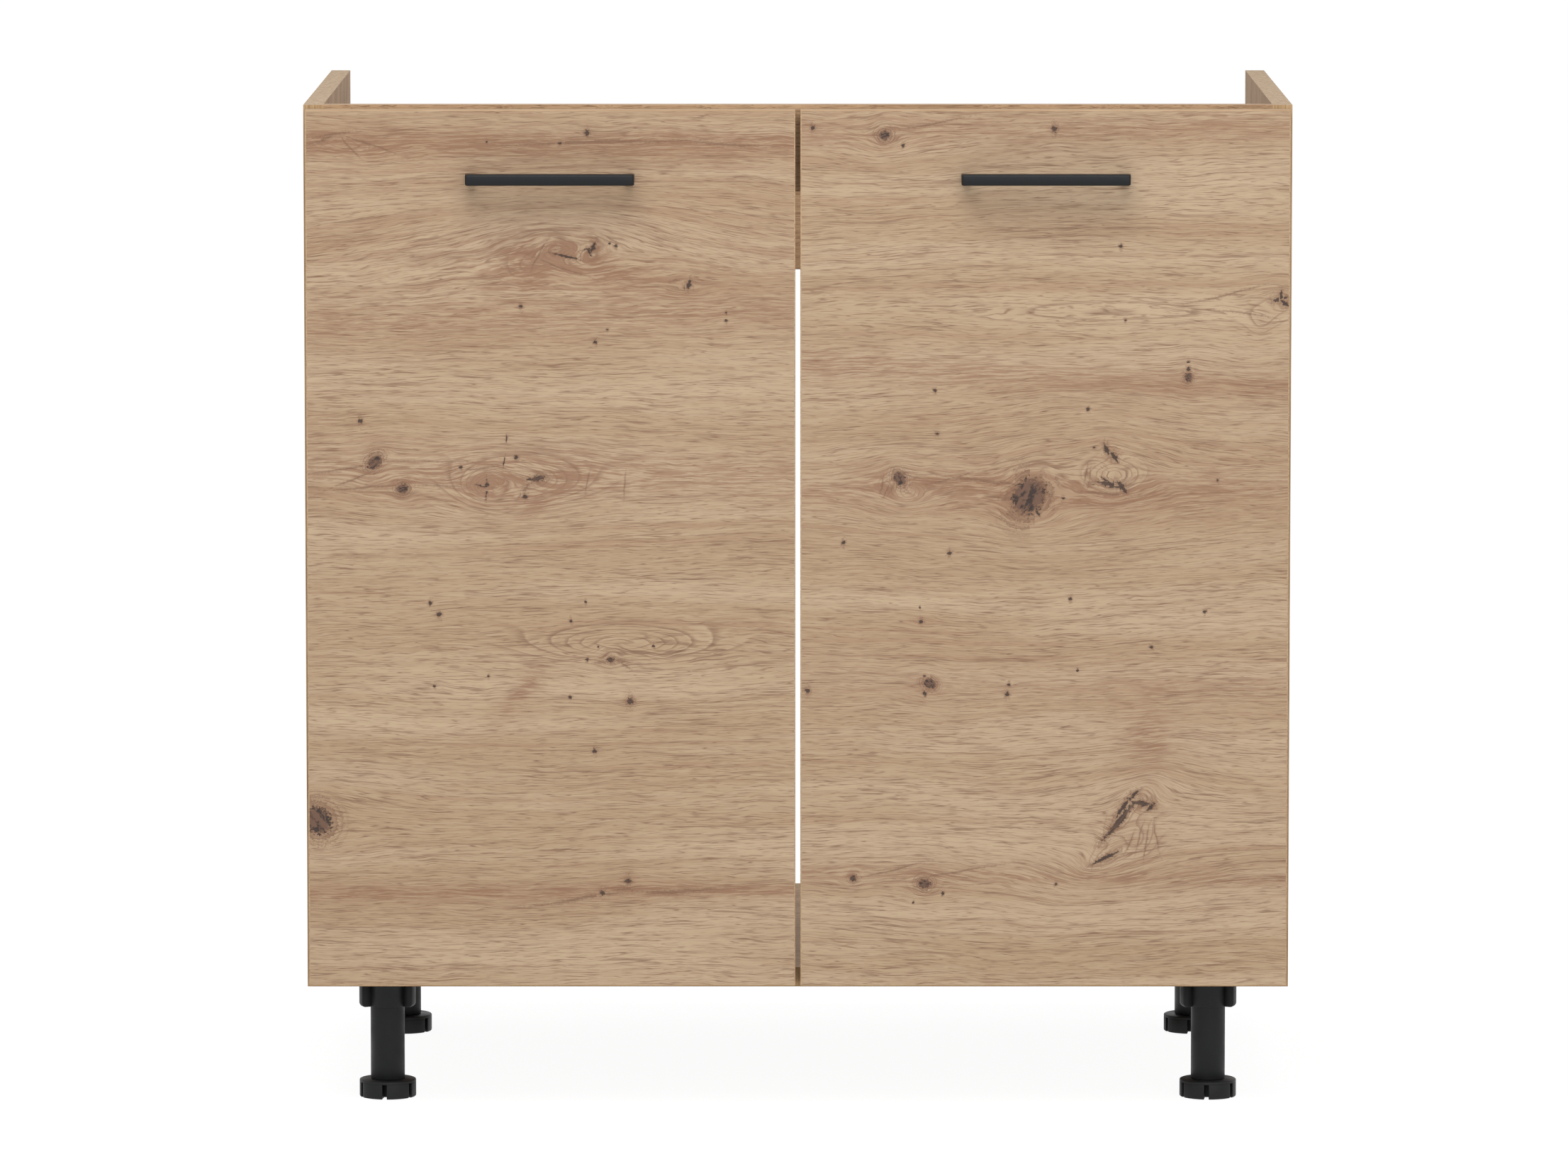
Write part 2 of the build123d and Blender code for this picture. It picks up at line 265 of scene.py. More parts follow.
# %% Place the screws of handles and hinges
flange_half = 28.5          # from the end of a cup's flange to the middle of the hinge
cup_inset = 24.5            # from the panel's outer face to the middle of the cup
cup_screw_row = 6.0         # the cup screws sit this much farther in than the cup's middle
cup_screw_half = 24
plate_screw_half = 16
plate_line = 37.0           # from the carcass front to the plate screws
plate_proud = 2.5           # how far a plate stands off its panel
arm_screw_lines = (30, 53)  # from the carcass front
handle_screw_half = 64
head_seat = 0.05            # how deep a head sinks in, so that no gap shows
hinge_levels = {}
for side in ("left", "right"):
    cup_low, cup_high = span("hinge_cups_" + side)
    hinge_levels[side] = (cup_low.z + flange_half, cup_high.z - flange_half)


def place_screws(kind, side, body, places, radius, height):
    """One piece for all the screws of a kind on one side."""
    finish_piece(screw_set(places, radius, height), f"{kind}_screws_{side}", body, "steel")


for side, way in (("left", -1), ("right", 1)):
    handle_low, handle_high = span("handle_" + side)
    middle_x, level = (handle_low.x + handle_high.x) / 2, (handle_low.z + handle_high.z) / 2
    on_handle = [((middle_x + step, door_inner - head_seat, level), (0, 1, 0), turn)
                 for step, turn in ((-handle_screw_half, 20), (handle_screw_half, 65))]
    place_screws("handle", side, side + "_door", on_handle, 3.9, 1.3)
    cup_face = span("hinge_cups_" + side)[1].y
    arm_face = way * abs(span("hinge_arms_" + side)[0 if way > 0 else 1].x)
    plate_face = way * (carcass_high.x - board - plate_proud)
    on_cups, on_plates, on_arms = [], [], []
    for number, z in enumerate(hinge_levels[side]):
        cup_x = way * (carcass_high.x - cup_inset - cup_screw_row)
        on_cups += [((cup_x, cup_face - head_seat, z + step), (0, 1, 0), 25 + step + 40 * number)
                    for step in (-cup_screw_half, cup_screw_half)]
        plate_y = carcass_front + plate_line
        on_plates += [((plate_face + way * head_seat, plate_y, z + step), (-way, 0, 0), 10 - step)
                      for step in (-plate_screw_half, plate_screw_half)]
        on_arms += [((arm_face + way * head_seat, carcass_front + y, z), (-way, 0, 0), y + 30 * number)
                    for y in arm_screw_lines]
    place_screws("cup", side, side + "_door", on_cups, 3.6, 1.0)
    place_screws("plate", side, "carcass", on_plates, 3.8, 1.5)
    place_screws("arm", side, "carcass", on_arms, 3.4, 0.9)

# %% [markdown]
# ## Softened hinge parts
# Pressed steel has no knife edges. The CAD hinges already have the right shapes, so a copy of each
# node is merged, its flat faces are joined, and its sharp edges get a narrow bevel. Each copy then takes
# the place of its CAD node. Modelling the stampings a second time would only risk other pivots.

# %% Soften the hinge parts
def softened(node, width, sharp=50):
    """A merged copy of a CAD node with its sharp edges rounded."""
    bm = bmesh.new()
    bm.from_mesh(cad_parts[node].data)
    bmesh.ops.scale(bm, vec=(1000, 1000, 1000), verts=bm.verts)
    bmesh.ops.remove_doubles(bm, verts=bm.verts, dist=0.003)
    bmesh.ops.dissolve_limit(bm, angle_limit=math.radians(1), verts=bm.verts, edges=bm.edges)
    edges = [e for e in bm.edges if e.is_manifold and math.degrees(e.calc_face_angle(0)) > sharp]
    round_off(bm, edges, width, 2, clamp=True)
    return bm


for side in ("left", "right"):
    for part, body, width in (("cups", side + "_door", 0.25), ("main_links", side + "_main_links", 0.3),
                              ("side_links", side + "_side_links", 0.2), ("arms", "carcass", 0.3),
                              ("plates", "carcass", 0.4)):
        node = f"hinge_{part}_{side}"
        finish_piece(softened(node, width), "pressed_" + node, body, "steel",
                     instead_of=[node])

# %% [markdown]
# ## Leg sockets and tubes
# Each leg is a moulded socket that is screwed under the bottom board, with a tube pressed into it.
# A turned shape such as the tube is a half-outline that is spun round its axis. The flange is a flat
# plate with cut corners, and the two lugs beside the sleeve are small rectangles, rounded at their
# lower outer corner and spun through only a sixth of a turn.

# %% Measure the legs
leg_top = carcass_low.z
foot_top = 14.6
flange_width = 60.0
flange_corner = 14.0
flange_thick = 3.0
sleeve_radius = 15.4
sleeve_low = leg_top - 25.0
lug_radius = 23.25
lug_round = 3.0
lug_spread = math.radians(60)
tube_radius = 14.0
stem_radius = 5.0
round_steps = 64


def outline(bm, points):
    """A chain of edges through points given as (radius, height), in the XZ plane."""
    verts = [bm.verts.new((r, 0, z)) for r, z in points]
    return verts, [bm.edges.new(pair) for pair in zip(verts, verts[1:])]


def turned(points, steps=round_steps):
    """A turned shape: an outline that is spun a full turn round the Z axis."""
    bm = bmesh.new()
    verts, edges = outline(bm, points)
    bmesh.ops.spin(bm, geom=verts + edges, cent=(0, 0, 0), axis=(0, 0, 1), angle=math.tau,
                   steps=steps, use_merge=True, use_normal_flip=False, use_duplicate=False)
    bmesh.ops.remove_doubles(bm, verts=bm.verts, dist=0.002)
    return bm


# %% Model the sockets
def sector(inner, outer, low, high, rounding, spread, steps):
    """A block between two radii that covers an angle, centred on +X, with its lower outer corner rounded."""
    bm = bmesh.new()
    verts, _ = outline(bm, [(inner, low), (outer, low), (outer, high), (inner, high)])
    face = bm.faces.new(verts)
    if rounding:
        round_off(bm, [verts[1]], rounding, 5, affect="VERTICES")
    bmesh.ops.rotate(bm, cent=(0, 0, 0), matrix=Matrix.Rotation(-spread / 2, 3, "Z"), verts=bm.verts)
    bmesh.ops.spin(bm, geom=bm.verts[:] + bm.edges[:] + bm.faces[:], cent=(0, 0, 0), axis=(0, 0, 1),
                   angle=spread, steps=steps, use_merge=False, use_duplicate=False)
    bmesh.ops.recalc_face_normals(bm, faces=bm.faces)
    return bm


def flange():
    """The square plate with cut corners that the screws go through."""
    bm = bmesh.new()
    bmesh.ops.create_grid(bm, x_segments=1, y_segments=1, size=flange_width / 2)
    round_off(bm, bm.verts[:], flange_corner, 1, affect="VERTICES")
    plate = bmesh.ops.extrude_face_region(bm, geom=bm.faces[:])["geom"]
    upper = verts_in(plate)
    bmesh.ops.translate(bm, vec=(0, 0, flange_thick), verts=upper)
    bmesh.ops.recalc_face_normals(bm, faces=bm.faces)
    lower_rim = [e for e in bm.edges if all(v.co.z < 0.01 for v in e.verts)]
    round_off(bm, lower_rim, 0.8, 3)
    bmesh.ops.translate(bm, vec=(0, 0, leg_top - flange_thick), verts=bm.verts)
    return bm


def leg_socket():
    """Flange, sleeve and two lugs of one socket, round the Z axis."""
    bm = flange()
    rim = sleeve_radius
    sleeve = turned([(0, leg_top - 1), (rim + 0.6, leg_top - 1), (rim + 0.6, leg_top - 3.2),
                     (rim, leg_top - 4.2), (rim, sleeve_low + 0.7), (rim - 0.2, sleeve_low + 0.2),
                     (rim - 0.7, sleeve_low), (0, sleeve_low)])
    join_copy(bm, sleeve, Matrix.Identity(4))
    sleeve.free()
    for turn in (0, math.pi):
        lug = sector(tube_radius, lug_radius, sleeve_low, leg_top - 1, lug_round, lug_spread, 14)
        edges = [e for e in lug.edges if e.calc_face_angle(0) > 0.9]
        round_off(lug, edges, 0.5, 2)
        join_copy(bm, lug, Matrix.Rotation(turn, 4, "Z"))
        lug.free()
    return bm


def tube():
    """The leg's tube, with the bore that the foot's stem goes up."""
    bore = stem_radius + 0.1
    return turned([(0, sleeve_low + 5), (tube_radius, sleeve_low + 5), (tube_radius, foot_top + 0.8),
                   (tube_radius - 0.25, foot_top + 0.25), (tube_radius - 0.8, foot_top), (bore, foot_top),
                   (bore, foot_top + 50), (0, foot_top + 50)])


sockets, tubes = bmesh.new(), bmesh.new()
for centre in leg_centres.values():
    place = Matrix.Translation((centre.x, centre.y, 0))
    for source, target in ((leg_socket(), sockets), (tube(), tubes)):
        join_copy(target, source, place)
        source.free()
finish_piece(sockets, "leg_sockets", "carcass", "plastic", instead_of=["leg_posts"])
finish_piece(tubes, "leg_tubes", "carcass", "plastic")

# %% Screw the sockets to the bottom board
flange_screw = 19.5
screw_level = leg_top - flange_thick + head_seat
places = []
for number, centre in enumerate(leg_centres.values()):
    for x_way, y_way in ((-1, -1), (-1, 1), (1, -1), (1, 1)):
        place = (centre.x + x_way * flange_screw, centre.y + y_way * flange_screw, screw_level)
        places.append((place, (0, 0, -1), 17 * number + 31 * x_way + 12 * y_way))
finish_piece(screw_set(places, 3.8, 1.6), "socket_screws", "carcass", "steel")

# %% [markdown]
# ## Caps over the cams
# Inside the ends of the bottom board and the rails sit small cams that pull the boards together. Each
# is covered by a thin round cap. A cap is a turned shape: a low dome with a rounded rim.

# %% Model the caps
cap_radius = 8.5
cap_inset = 34.0
cap_lines = (carcass_front + 18, carcass_front + 250, carcass_high.y - 30)


def round_cap():
    """A low dome on the XY plane."""
    rim = cap_radius
    return turned([(0, -0.4), (rim, -0.4), (rim, 0.3), (rim - 0.25, 0.65), (rim - 0.8, 0.85),
                   (rim * 0.5, 1.05), (0, 1.1)], 40)


inner = carcass_high.x - board
front_rail_low, front_rail_high = span("front_rail")
rear_rail_low, rear_rail_high = span("rear_rail")
cap_places = []
for way in (-1, 1):
    x = way * (inner - cap_inset)
    cap_places += [((x, y, leg_top), (0, 0, -1)) for y in cap_lines]
    cap_places.append(((x, front_rail_high.y, (front_rail_low.z + front_rail_high.z) / 2), (0, 1, 0)))
    cap_places.append(((x, rear_rail_low.y, (rear_rail_low.z + rear_rail_high.z) / 2), (0, -1, 0)))
caps = bmesh.new()
cap = round_cap()
for place, direction in cap_places:
    join_copy(caps, cap, look_along(Vector(place), direction))
cap.free()
finish_piece(caps, "cam_caps", "carcass", "cap")

# %% [markdown]
# ## Door buffers
# A small clear buffer near each free corner of a door meets the carcass first and softens the stop. It
# is a turned dome that is stuck on the inner face, a little thinner than the gap behind the door.

# %% Model the buffers
buffer_radius = 4.5
buffer_height = 1.7
buffer_inset = 12.0
buffer_lift = 6.5

for side, way in (("left", -1), ("right", 1)):
    door_low, door_high = span("door_" + side)
    free_edge = door_high.x if side == "left" else door_low.x
    buffers = bmesh.new()
    dome = turned([(0, 0), (buffer_radius, 0), (buffer_radius, 0.5), (buffer_radius - 0.5, 1.2),
                   (buffer_radius - 1.6, buffer_height - 0.1), (0, buffer_height)], 32)
    for z in (door_low.z + buffer_lift, door_high.z - buffer_inset):
        place = Vector((free_edge + way * buffer_inset, door_inner - head_seat, z))
        join_copy(buffers, dome, look_along(place, (0, 1, 0)))
    dome.free()
    finish_piece(buffers, "door_buffers_" + side, side + "_door", "buffer")

# %% [markdown]
# ## Adjusting feet
# The foot is turned by hand to level the cabinet. Six slots give the fingers or a tool a grip. A slot
# has parallel walls, so each of the six blocks between the slots is a sixth of a ring that is cut back
# by two planes beside the slots. A thin disc closes the slots at the top, and a threaded stem stands on it.

# %% Model the feet
foot_radius = 23.25
foot_skin = 2.3
foot_hub = 12.0
foot_slot = 3.65
foot_slots = 6
foot_turn = -5.0
thread_pitch = 1.5
stem_length = 45.0


def grip_block():
    """One block between two slots."""
    spread = math.tau / foot_slots
    bm = sector(foot_hub - 1, foot_radius, 0, foot_top - foot_skin, 1.2, spread, 16)
    for way in (-1, 1):
        along = Vector((math.cos(way * spread / 2), math.sin(way * spread / 2), 0))
        across = Vector((-along.y, along.x, 0)) * way
        geometry = bm.verts[:] + bm.edges[:] + bm.faces[:]
        bmesh.ops.bisect_plane(bm, geom=geometry, plane_co=-across * foot_slot / 2, plane_no=across,
                               clear_outer=True)
        bmesh.ops.holes_fill(bm, edges=open_edges(bm), sides=0)
    bmesh.ops.recalc_face_normals(bm, faces=bm.faces)
    edges = [e for e in bm.edges if e.calc_face_angle(0) > 0.9
             and all(v.co.xy.length > foot_hub + 1 for v in e.verts)]
    round_off(bm, edges, 0.45, 2)
    return bm


def adjusting_foot():
    """The whole foot, round the Z axis."""
    rim = foot_radius
    bm = turned([(0, foot_top - foot_skin), (rim, foot_top - foot_skin), (rim, foot_top - 0.9),
                 (rim - 0.3, foot_top - 0.3), (rim - 0.9, foot_top), (stem_radius, foot_top)]
                + [(stem_radius - (0.7 if i % 2 else 0), foot_top + i * thread_pitch / 2)
                   for i in range(1, int(2 * stem_length / thread_pitch))]
                + [(stem_radius - 1.2, foot_top + stem_length), (0, foot_top + stem_length)], 48)
    hub = turned([(0, 0.4), (foot_hub - 0.4, 0.4), (foot_hub, 0.8), (foot_hub, foot_top - 1),
                  (0, foot_top - 1)], 48)
    join_copy(bm, hub, Matrix.Identity(4))
    hub.free()
    block = grip_block()
    for step in range(foot_slots):
        join_copy(bm, block, Matrix.Rotation((step + 0.5) * math.tau / foot_slots, 4, "Z"))
    block.free()
    own_turn = Matrix.Rotation(math.radians(90 + foot_turn), 3, "Z")
    bmesh.ops.rotate(bm, cent=(0, 0, 0), matrix=own_turn, verts=bm.verts)
    return bm


for name, centre in leg_centres.items():
    foot = adjusting_foot()
    bmesh.ops.translate(foot, vec=(centre.x, centre.y, 0), verts=foot.verts)
    finish_piece(foot, "adjusting_foot_" + name, "foot_" + name, "plastic",
                 instead_of=["leg_foot_" + name])

# %% [markdown]
# ## Door edge bands
# Each door is faced with decor and closed all round by a plastic band 1 mm thick. The band's outer
# edges are rounded by the edging machine, and that rounding draws the fine light line round a door.
# It starts as one flat face as large as the door. An inset makes the ring, the middle is taken out,
# and the ring is drawn to the door's thickness.

# %% Model the door bands
band_thick = 1.0
band_round = 0.6


def door_band(low, high):
    """A closed frame round the door, with its outer edges rounded."""
    bm = bmesh.new()
    bmesh.ops.create_grid(bm, x_segments=1, y_segments=1, size=0.5)
    bmesh.ops.scale(bm, vec=(high.x - low.x, high.z - low.z, 1), verts=bm.verts)
    middle = bm.faces[:]
    bmesh.ops.inset_region(bm, faces=middle, thickness=band_thick, use_boundary=True, use_even_offset=True)
    bmesh.ops.delete(bm, geom=middle, context="FACES")
    ring = bmesh.ops.extrude_face_region(bm, geom=bm.faces[:])["geom"]
    bmesh.ops.translate(bm, vec=(0, 0, high.y - low.y), verts=verts_in(ring))
    bmesh.ops.recalc_face_normals(bm, faces=bm.faces)
    half_x, half_z = (high.x - low.x) / 2 - 0.01, (high.z - low.z) / 2 - 0.01
    outer = [e for e in bm.edges if all(abs(v.co.x) > half_x or abs(v.co.y) > half_z for v in e.verts)]
    round_off(bm, outer, band_round, 3)
    bmesh.ops.rotate(bm, cent=(0, 0, 0), matrix=Matrix.Rotation(math.radians(90), 3, "X"), verts=bm.verts)
    bmesh.ops.translate(bm, vec=((low.x + high.x) / 2, high.y, (low.z + high.z) / 2), verts=bm.verts)
    return bm


for side in ("left", "right"):
    node = "door_edging_" + side
    finish_piece(door_band(*span(node)), "door_band_" + side, side + "_door", "band",
                 instead_of=[node])

# %% [markdown]
# ## Working with shader nodes
# A procedural material is a small program made of nodes. Writing each node in full would hide the idea
# behind many lines, so a few helpers come first: one adds a node and fills its inputs, and the others
# are short names for the nodes that the materials use most.

# %% Helpers for node trees
def node(tree, kind, inputs=None, **settings):
    """Add a node. Each input is a plain value or the socket that feeds it."""
    made = tree.nodes.new(kind)
    for key, value in settings.items():
        setattr(made, key, value)
    for key, value in (inputs or {}).items():
        if isinstance(value, bpy.types.NodeSocket):
            tree.links.new(value, made.inputs[key])
        else:
            made.inputs[key].default_value = value
    return made


def calc(tree, operation, *values):
    """A Math node."""
    return node(tree, "ShaderNodeMath", dict(enumerate(values)), operation=operation).outputs[0]


def times(tree, first, second):
    return calc(tree, "MULTIPLY", first, second)


def plus(tree, first, second):
    return calc(tree, "ADD", first, second)


def minus(tree, first, second):
    return calc(tree, "SUBTRACT", first, second)


def vector(tree, operation, *values):
    """A Vector Math node."""
    made = node(tree, "ShaderNodeVectorMath", dict(enumerate(values)), operation=operation)
    return made.outputs["Value" if operation in ("DOT_PRODUCT", "LENGTH") else "Vector"]


def combine(tree, *values):
    return node(tree, "ShaderNodeCombineXYZ", dict(enumerate(values))).outputs[0]


def separate(tree, value):
    return node(tree, "ShaderNodeSeparateXYZ", {0: value}).outputs[:]


def noise(tree, place, detail=2.0, roughness=0.5, scale=1.0, distortion=0.0):
    """A Noise Texture, with values round 0.5."""
    inputs = {"Vector": place, "Scale": scale, "Detail": detail, "Roughness": roughness,
              "Distortion": distortion}
    return node(tree, "ShaderNodeTexNoise", inputs).outputs["Fac"]


def remap(tree, value, low, high, to_low=0.0, to_high=1.0):
    """A Map Range node that eases in and out and stops at its ends."""
    inputs = dict(enumerate((value, low, high, to_low, to_high)))
    return node(tree, "ShaderNodeMapRange", inputs, interpolation_type="SMOOTHSTEP").outputs[0]


def mix(tree, factor, first, second):
    """A Mix node for colours."""
    return node(tree, "ShaderNodeMix", {0: factor, 6: first, 7: second}, data_type="RGBA").outputs[2]


def tone(red, green, blue):
    """A colour as a paint program writes it, 0 to 255, turned into the linear colour that Blender wants."""
    parts = (red, green, blue)
    return tuple(((c / 255 + 0.055) / 1.055) ** 2.4 if c > 10 else c / 255 / 12.92 for c in parts) + (1,)


def new_group(name, inputs, outputs):
    """An empty node group with named sockets; gives back its tree, what comes in, and its output node."""
    tree = bpy.data.node_groups.new(name, "ShaderNodeTree")
    for direction, sockets in (("INPUT", inputs), ("OUTPUT", outputs)):
        for socket, kind in sockets.items():
            tree.interface.new_socket(socket, in_out=direction, socket_type="NodeSocket" + kind)
    return tree, tree.nodes.new("NodeGroupInput").outputs, tree.nodes.new("NodeGroupOutput").inputs


def use_group(tree, group, inputs):
    return node(tree, "ShaderNodeGroup", inputs, node_tree=group).outputs


def finish_tree(name, shine=0.35):
    """The tree and the shader of a finish. Shine is how strongly a smooth spot mirrors."""
    materials[name].use_nodes = True
    tree = materials[name].node_tree
    shader = tree.nodes["Principled BSDF"].inputs
    shader["Specular IOR Level"].default_value = shine
    return tree, shader


def millimetres(tree):
    """Object coordinates in millimetres. They stay fixed to the piece when it moves."""
    metres = node(tree, "ShaderNodeTexCoord").outputs["Object"]
    return vector(tree, "MULTIPLY", metres, (1000.0, 1000.0, 1000.0))


def bump(tree, height, depth, strength=1.0):
    """A Bump node; depth is in millimetres."""
    inputs = {"Height": height, "Distance": depth / 1000, "Strength": strength}
    return node(tree, "ShaderNodeBump", inputs).outputs["Normal"]


def wire(tree, shader, color, roughness, normal):
    """Link the three results of a finish to its shader."""
    for value, socket in ((color, "Base Color"), (roughness, "Roughness"), (normal, "Normal")):
        tree.links.new(value, shader[socket])


# %% [markdown]
# ## Oak grain
# The boards wear a printed oak decor. Real oak shows several things at once: broad bands of lighter
# and darker wood, long thin lines that wander along the grain, the year rings, very fine fibres, and
# short dark pores. Each is a noise that is stretched along the grain by its own amount. Because doors
# and boards share it, the grain is a node group. It is given the place along and across the grain.

# %% Build the fibre relief group
def build_fibre_relief():
    """The pressed-in pores of the decor, as a height. It doesn't follow the knots, which keeps it quick."""
    tree, given, result = new_group("fibre_relief", {"Along": "Float", "Across": "Float", "Through": "Float"},
                                    {"Height": "Float"})
    place = combine(tree, *(calc(tree, "DIVIDE", given[way], size)
                            for way, size in (("Along", 26.0), ("Across", 0.7), ("Through", 0.7))))
    tree.links.new(noise(tree, place, 2, 0.6), result["Height"])
    return tree


fibre_relief = build_fibre_relief()


# %% Build the oak grain group
def build_oak_grain():
    tree, given, result = new_group(
        "oak_grain",
        {"Along": "Float", "Across": "Float", "Through": "Float", "Rings": "Float", "Ring strength": "Float",
         "Light": "Color", "Middle": "Color", "Dark": "Color", "Line": "Color"},
        {"Color": "Color", "Roughness": "Float"})
    place = combine(tree, given["Along"], given["Across"], given["Through"])

    def grain(along, across, detail=2.0, roughness=0.5, shift=0.0):
        stretched = node(tree, "ShaderNodeVectorMath",
                         {0: place, 1: (1 / along, 1 / across, 1 / across), 2: (shift, shift, shift)},
                         operation="MULTIPLY_ADD").outputs[0]
        return noise(tree, stretched, detail, roughness)

    broad = remap(tree, grain(520, 34, 3), 0.36, 0.64)
    band = remap(tree, grain(420, 6.5, 3, 0.62, 3.1), 0.47, 0.7)
    wander = calc(tree, "ABSOLUTE", minus(tree, grain(110, 2.6, 2, 0.55, 7.7), 0.5))
    where = remap(tree, grain(70, 6, 1, 0.5, 1.3), 0.42, 0.6)
    line = times(tree, remap(tree, wander, 0.0, 0.035, 1.0, 0.0), where)
    fine = calc(tree, "ABSOLUTE", minus(tree, grain(40, 1.5, 1, 0.5, 5.5), 0.5))
    here = remap(tree, grain(24, 2.2, 1, 0.5, 4.2), 0.38, 0.6)
    dash = times(tree, remap(tree, fine, 0.0, 0.05, 1.0, 0.0), here)
    sheen = remap(tree, grain(34, 1.3, 1, 0.5, 9.1), 0.55, 0.66)
    pore = remap(tree, grain(14, 0.8, 1, 0.5, 2.4), 0.56, 0.66)
    saw = calc(tree, "FRACT", given["Rings"])
    ring = times(tree, remap(tree, saw, 0.62, 0.93), remap(tree, saw, 0.93, 1.0, 1.0, 0.0))
    ring = times(tree, ring, given["Ring strength"])
    bright = times(tree, remap(tree, saw, 0.0, 0.25, 1.0, 0.0), given["Ring strength"])

    color = mix(tree, broad, given["Light"], given["Middle"])
    for mark, strength, ink in ((band, 0.36, "Dark"), (sheen, 0.5, "Light"), (bright, 0.45, "Light"),
                                (ring, 0.5, "Line"), (line, 0.7, "Line"), (dash, 0.66, "Line"),
                                (pore, 0.35, "Line")):
        color = mix(tree, times(tree, mark, strength), color, given[ink])
    tree.links.new(color, result["Color"])
    tree.links.new(remap(tree, plus(tree, dash, pore), 0.0, 1.2, 0.46, 0.64), result["Roughness"])
    return tree


oak_grain = build_oak_grain()
print("oak grain:", len(oak_grain.nodes), "nodes")

# %% [markdown]
# ## The knots of the doors
# Both doors are cut from a knotty decor with the grain lying across. The lists of knots are what makes
# a door look like itself, so each door has its own. A knot is where a branch once grew, and the fibres
# flow round it as water flows round a stone. Each line gives the place in millimetres, how far the
# knot reaches along and across the grain, how much it turns, how hard it pushes the fibres aside, how
# far it lifts the year rings, how much it stains the wood, and the size of its dark core. Tiny pin
# knots, cracks and brown veins have no flow round them, so they have lists of their own.

# %% List the knots of both doors
# x, z, reach along, reach across, turn in degrees, push, lift, stain, core (a share of the reach)
knots = {
    "left": [
        (-189, 699, 16, 8, -8, 0.9, 4.0, 0.1, 0), (-216, 692, 28, 15, 30, 0, 2.0, 0.9, 0),
        (-160, 687, 60, 11, -14, 0, 0, 0.6, 0), (-167, 705, 8, 7, 0, 0.9, 1.2, 0.3, 0),
        (-90, 676, 10, 6, 0, 0.9, 1.2, 0.35, 0), (-343, 532, 10, 7, 52, 0.9, 0.8, 0.6, 0.66),
        (-320, 510, 9, 8, 0, 0.9, 1.6, 0.5, 0.52), (-251, 512, 19, 13, 0, 0.9, 4.5, 0.45, 0),
        (-222, 516, 58, 22, 0, 0.35, 5.5, 0.3, 0), (-206, 504, 24, 9, 30, 0, 0, 0.5, 0),
        (-151, 370, 9, 7, 0, 0.9, 1.4, 0.45, 0), (-142, 384, 80, 17, 0, 0.45, 5.5, 0.0, 0),
        (-136, 337, 6, 4, 0, 0.8, 0.6, 0.45, 0.55), (-224, 345, 30, 10, 48, 0, 0, 0.8, 0),
        (-262, 352, 30, 12, 0, 0.5, 0.5, -0.5, 0), (-390, 239, 13, 12, -50, 0.9, 1.6, 0.5, 0.9),
        (-138, 189, 5, 4, 0, 0.8, 0.5, 0.4, 0.55), (-368, 790, 30, 7, -14, 0.7, 2.5, 0.4, 0),
        (-290, 690, 150, 30, 14, 0.2, 0.9, 0.05, 0),
    ],
    "right": [
        (70, 797, 10, 9, 0, 0.9, 3.2, 0.55, 0.46), (391, 662, 10, 8, 0, 0.9, 1.0, 0.4, 0),
        (375, 645, 24, 16, 60, 0.3, 1.4, 0.15, 0), (250, 653, 130, 13, 0, 0.35, 2.2, -0.15, 0),
        (316, 601, 5, 7, 0, 0.9, 1.0, 0.45, 0.6), (254, 540, 10, 7, -50, 0.9, 0.8, 0.35, 0),
        (256, 521, 24, 13, 0, 0.9, 4.5, -0.1, 0), (250, 505, 30, 9, 0, 0.3, 0, 0.5, 0),
        (187, 504, 18, 15, 55, 0.95, 2.4, 0.5, 0.86), (160, 514, 40, 5, -8, 0, 0, 0.5, 0),
        (82, 518, 8, 6, -65, 0.9, 1.4, 0.5, 0.75), (90, 507, 13, 8, 0, 0.8, 3.6, -0.3, 0),
        (71, 512, 7, 9, 0, 0, 2.0, 0.6, 0), (115, 516, 34, 5, 0, 0, 0, 0.35, 0),
        (100, 402, 11, 4, 0, 0.8, 0.8, 0.4, 0), (107, 351, 9, 7, -35, 0.9, 1.0, 0.5, 0.55),
        (285, 305, 20, 26, 0, 0.1, 0.8, 0.7, 0), (266, 243, 30, 9, 52, 0.7, 2.0, 0.3, 0),
        (283, 252, 13, 7, 0, 0.8, 1.0, 0.4, 0), (250, 209, 18, 8, 25, 0.8, 2.2, 0.3, 0),
        (275, 222, 22, 22, 0, 0.1, 2.6, 0.3, 0), (45, 192, 7, 6, 0, 0.9, 2.4, 0.3, 0.4),
        (103, 187, 11, 9, 0, 0.9, 3.6, 0.5, 0.42),
    ],
}
# x, z, reach along, reach across, rise: where the grain as a whole swells up over a knot or sinks under it
swells = {
    "left": [
        (-195, 722, 130, 34, 30), (-215, 538, 60, 16, 5), (-215, 492, 60, 16, -4), (-330, 640, 90, 26, -5),
        (-100, 395, 120, 20, 8), (-110, 352, 120, 22, -8), (-390, 262, 60, 24, 8), (-380, 215, 60, 24, -7),
    ],
    "right": [
        (255, 545, 80, 26, 14), (190, 478, 80, 24, -14), (85, 535, 60, 20, 8), (85, 492, 60, 20, -7),
        (180, 672, 160, 24, 8), (190, 628, 160, 26, -8), (275, 272, 70, 26, 12), (262, 190, 70, 24, -12),
        (70, 780, 50, 18, -6), (270, 590, 90, 20, 6),
    ],
}
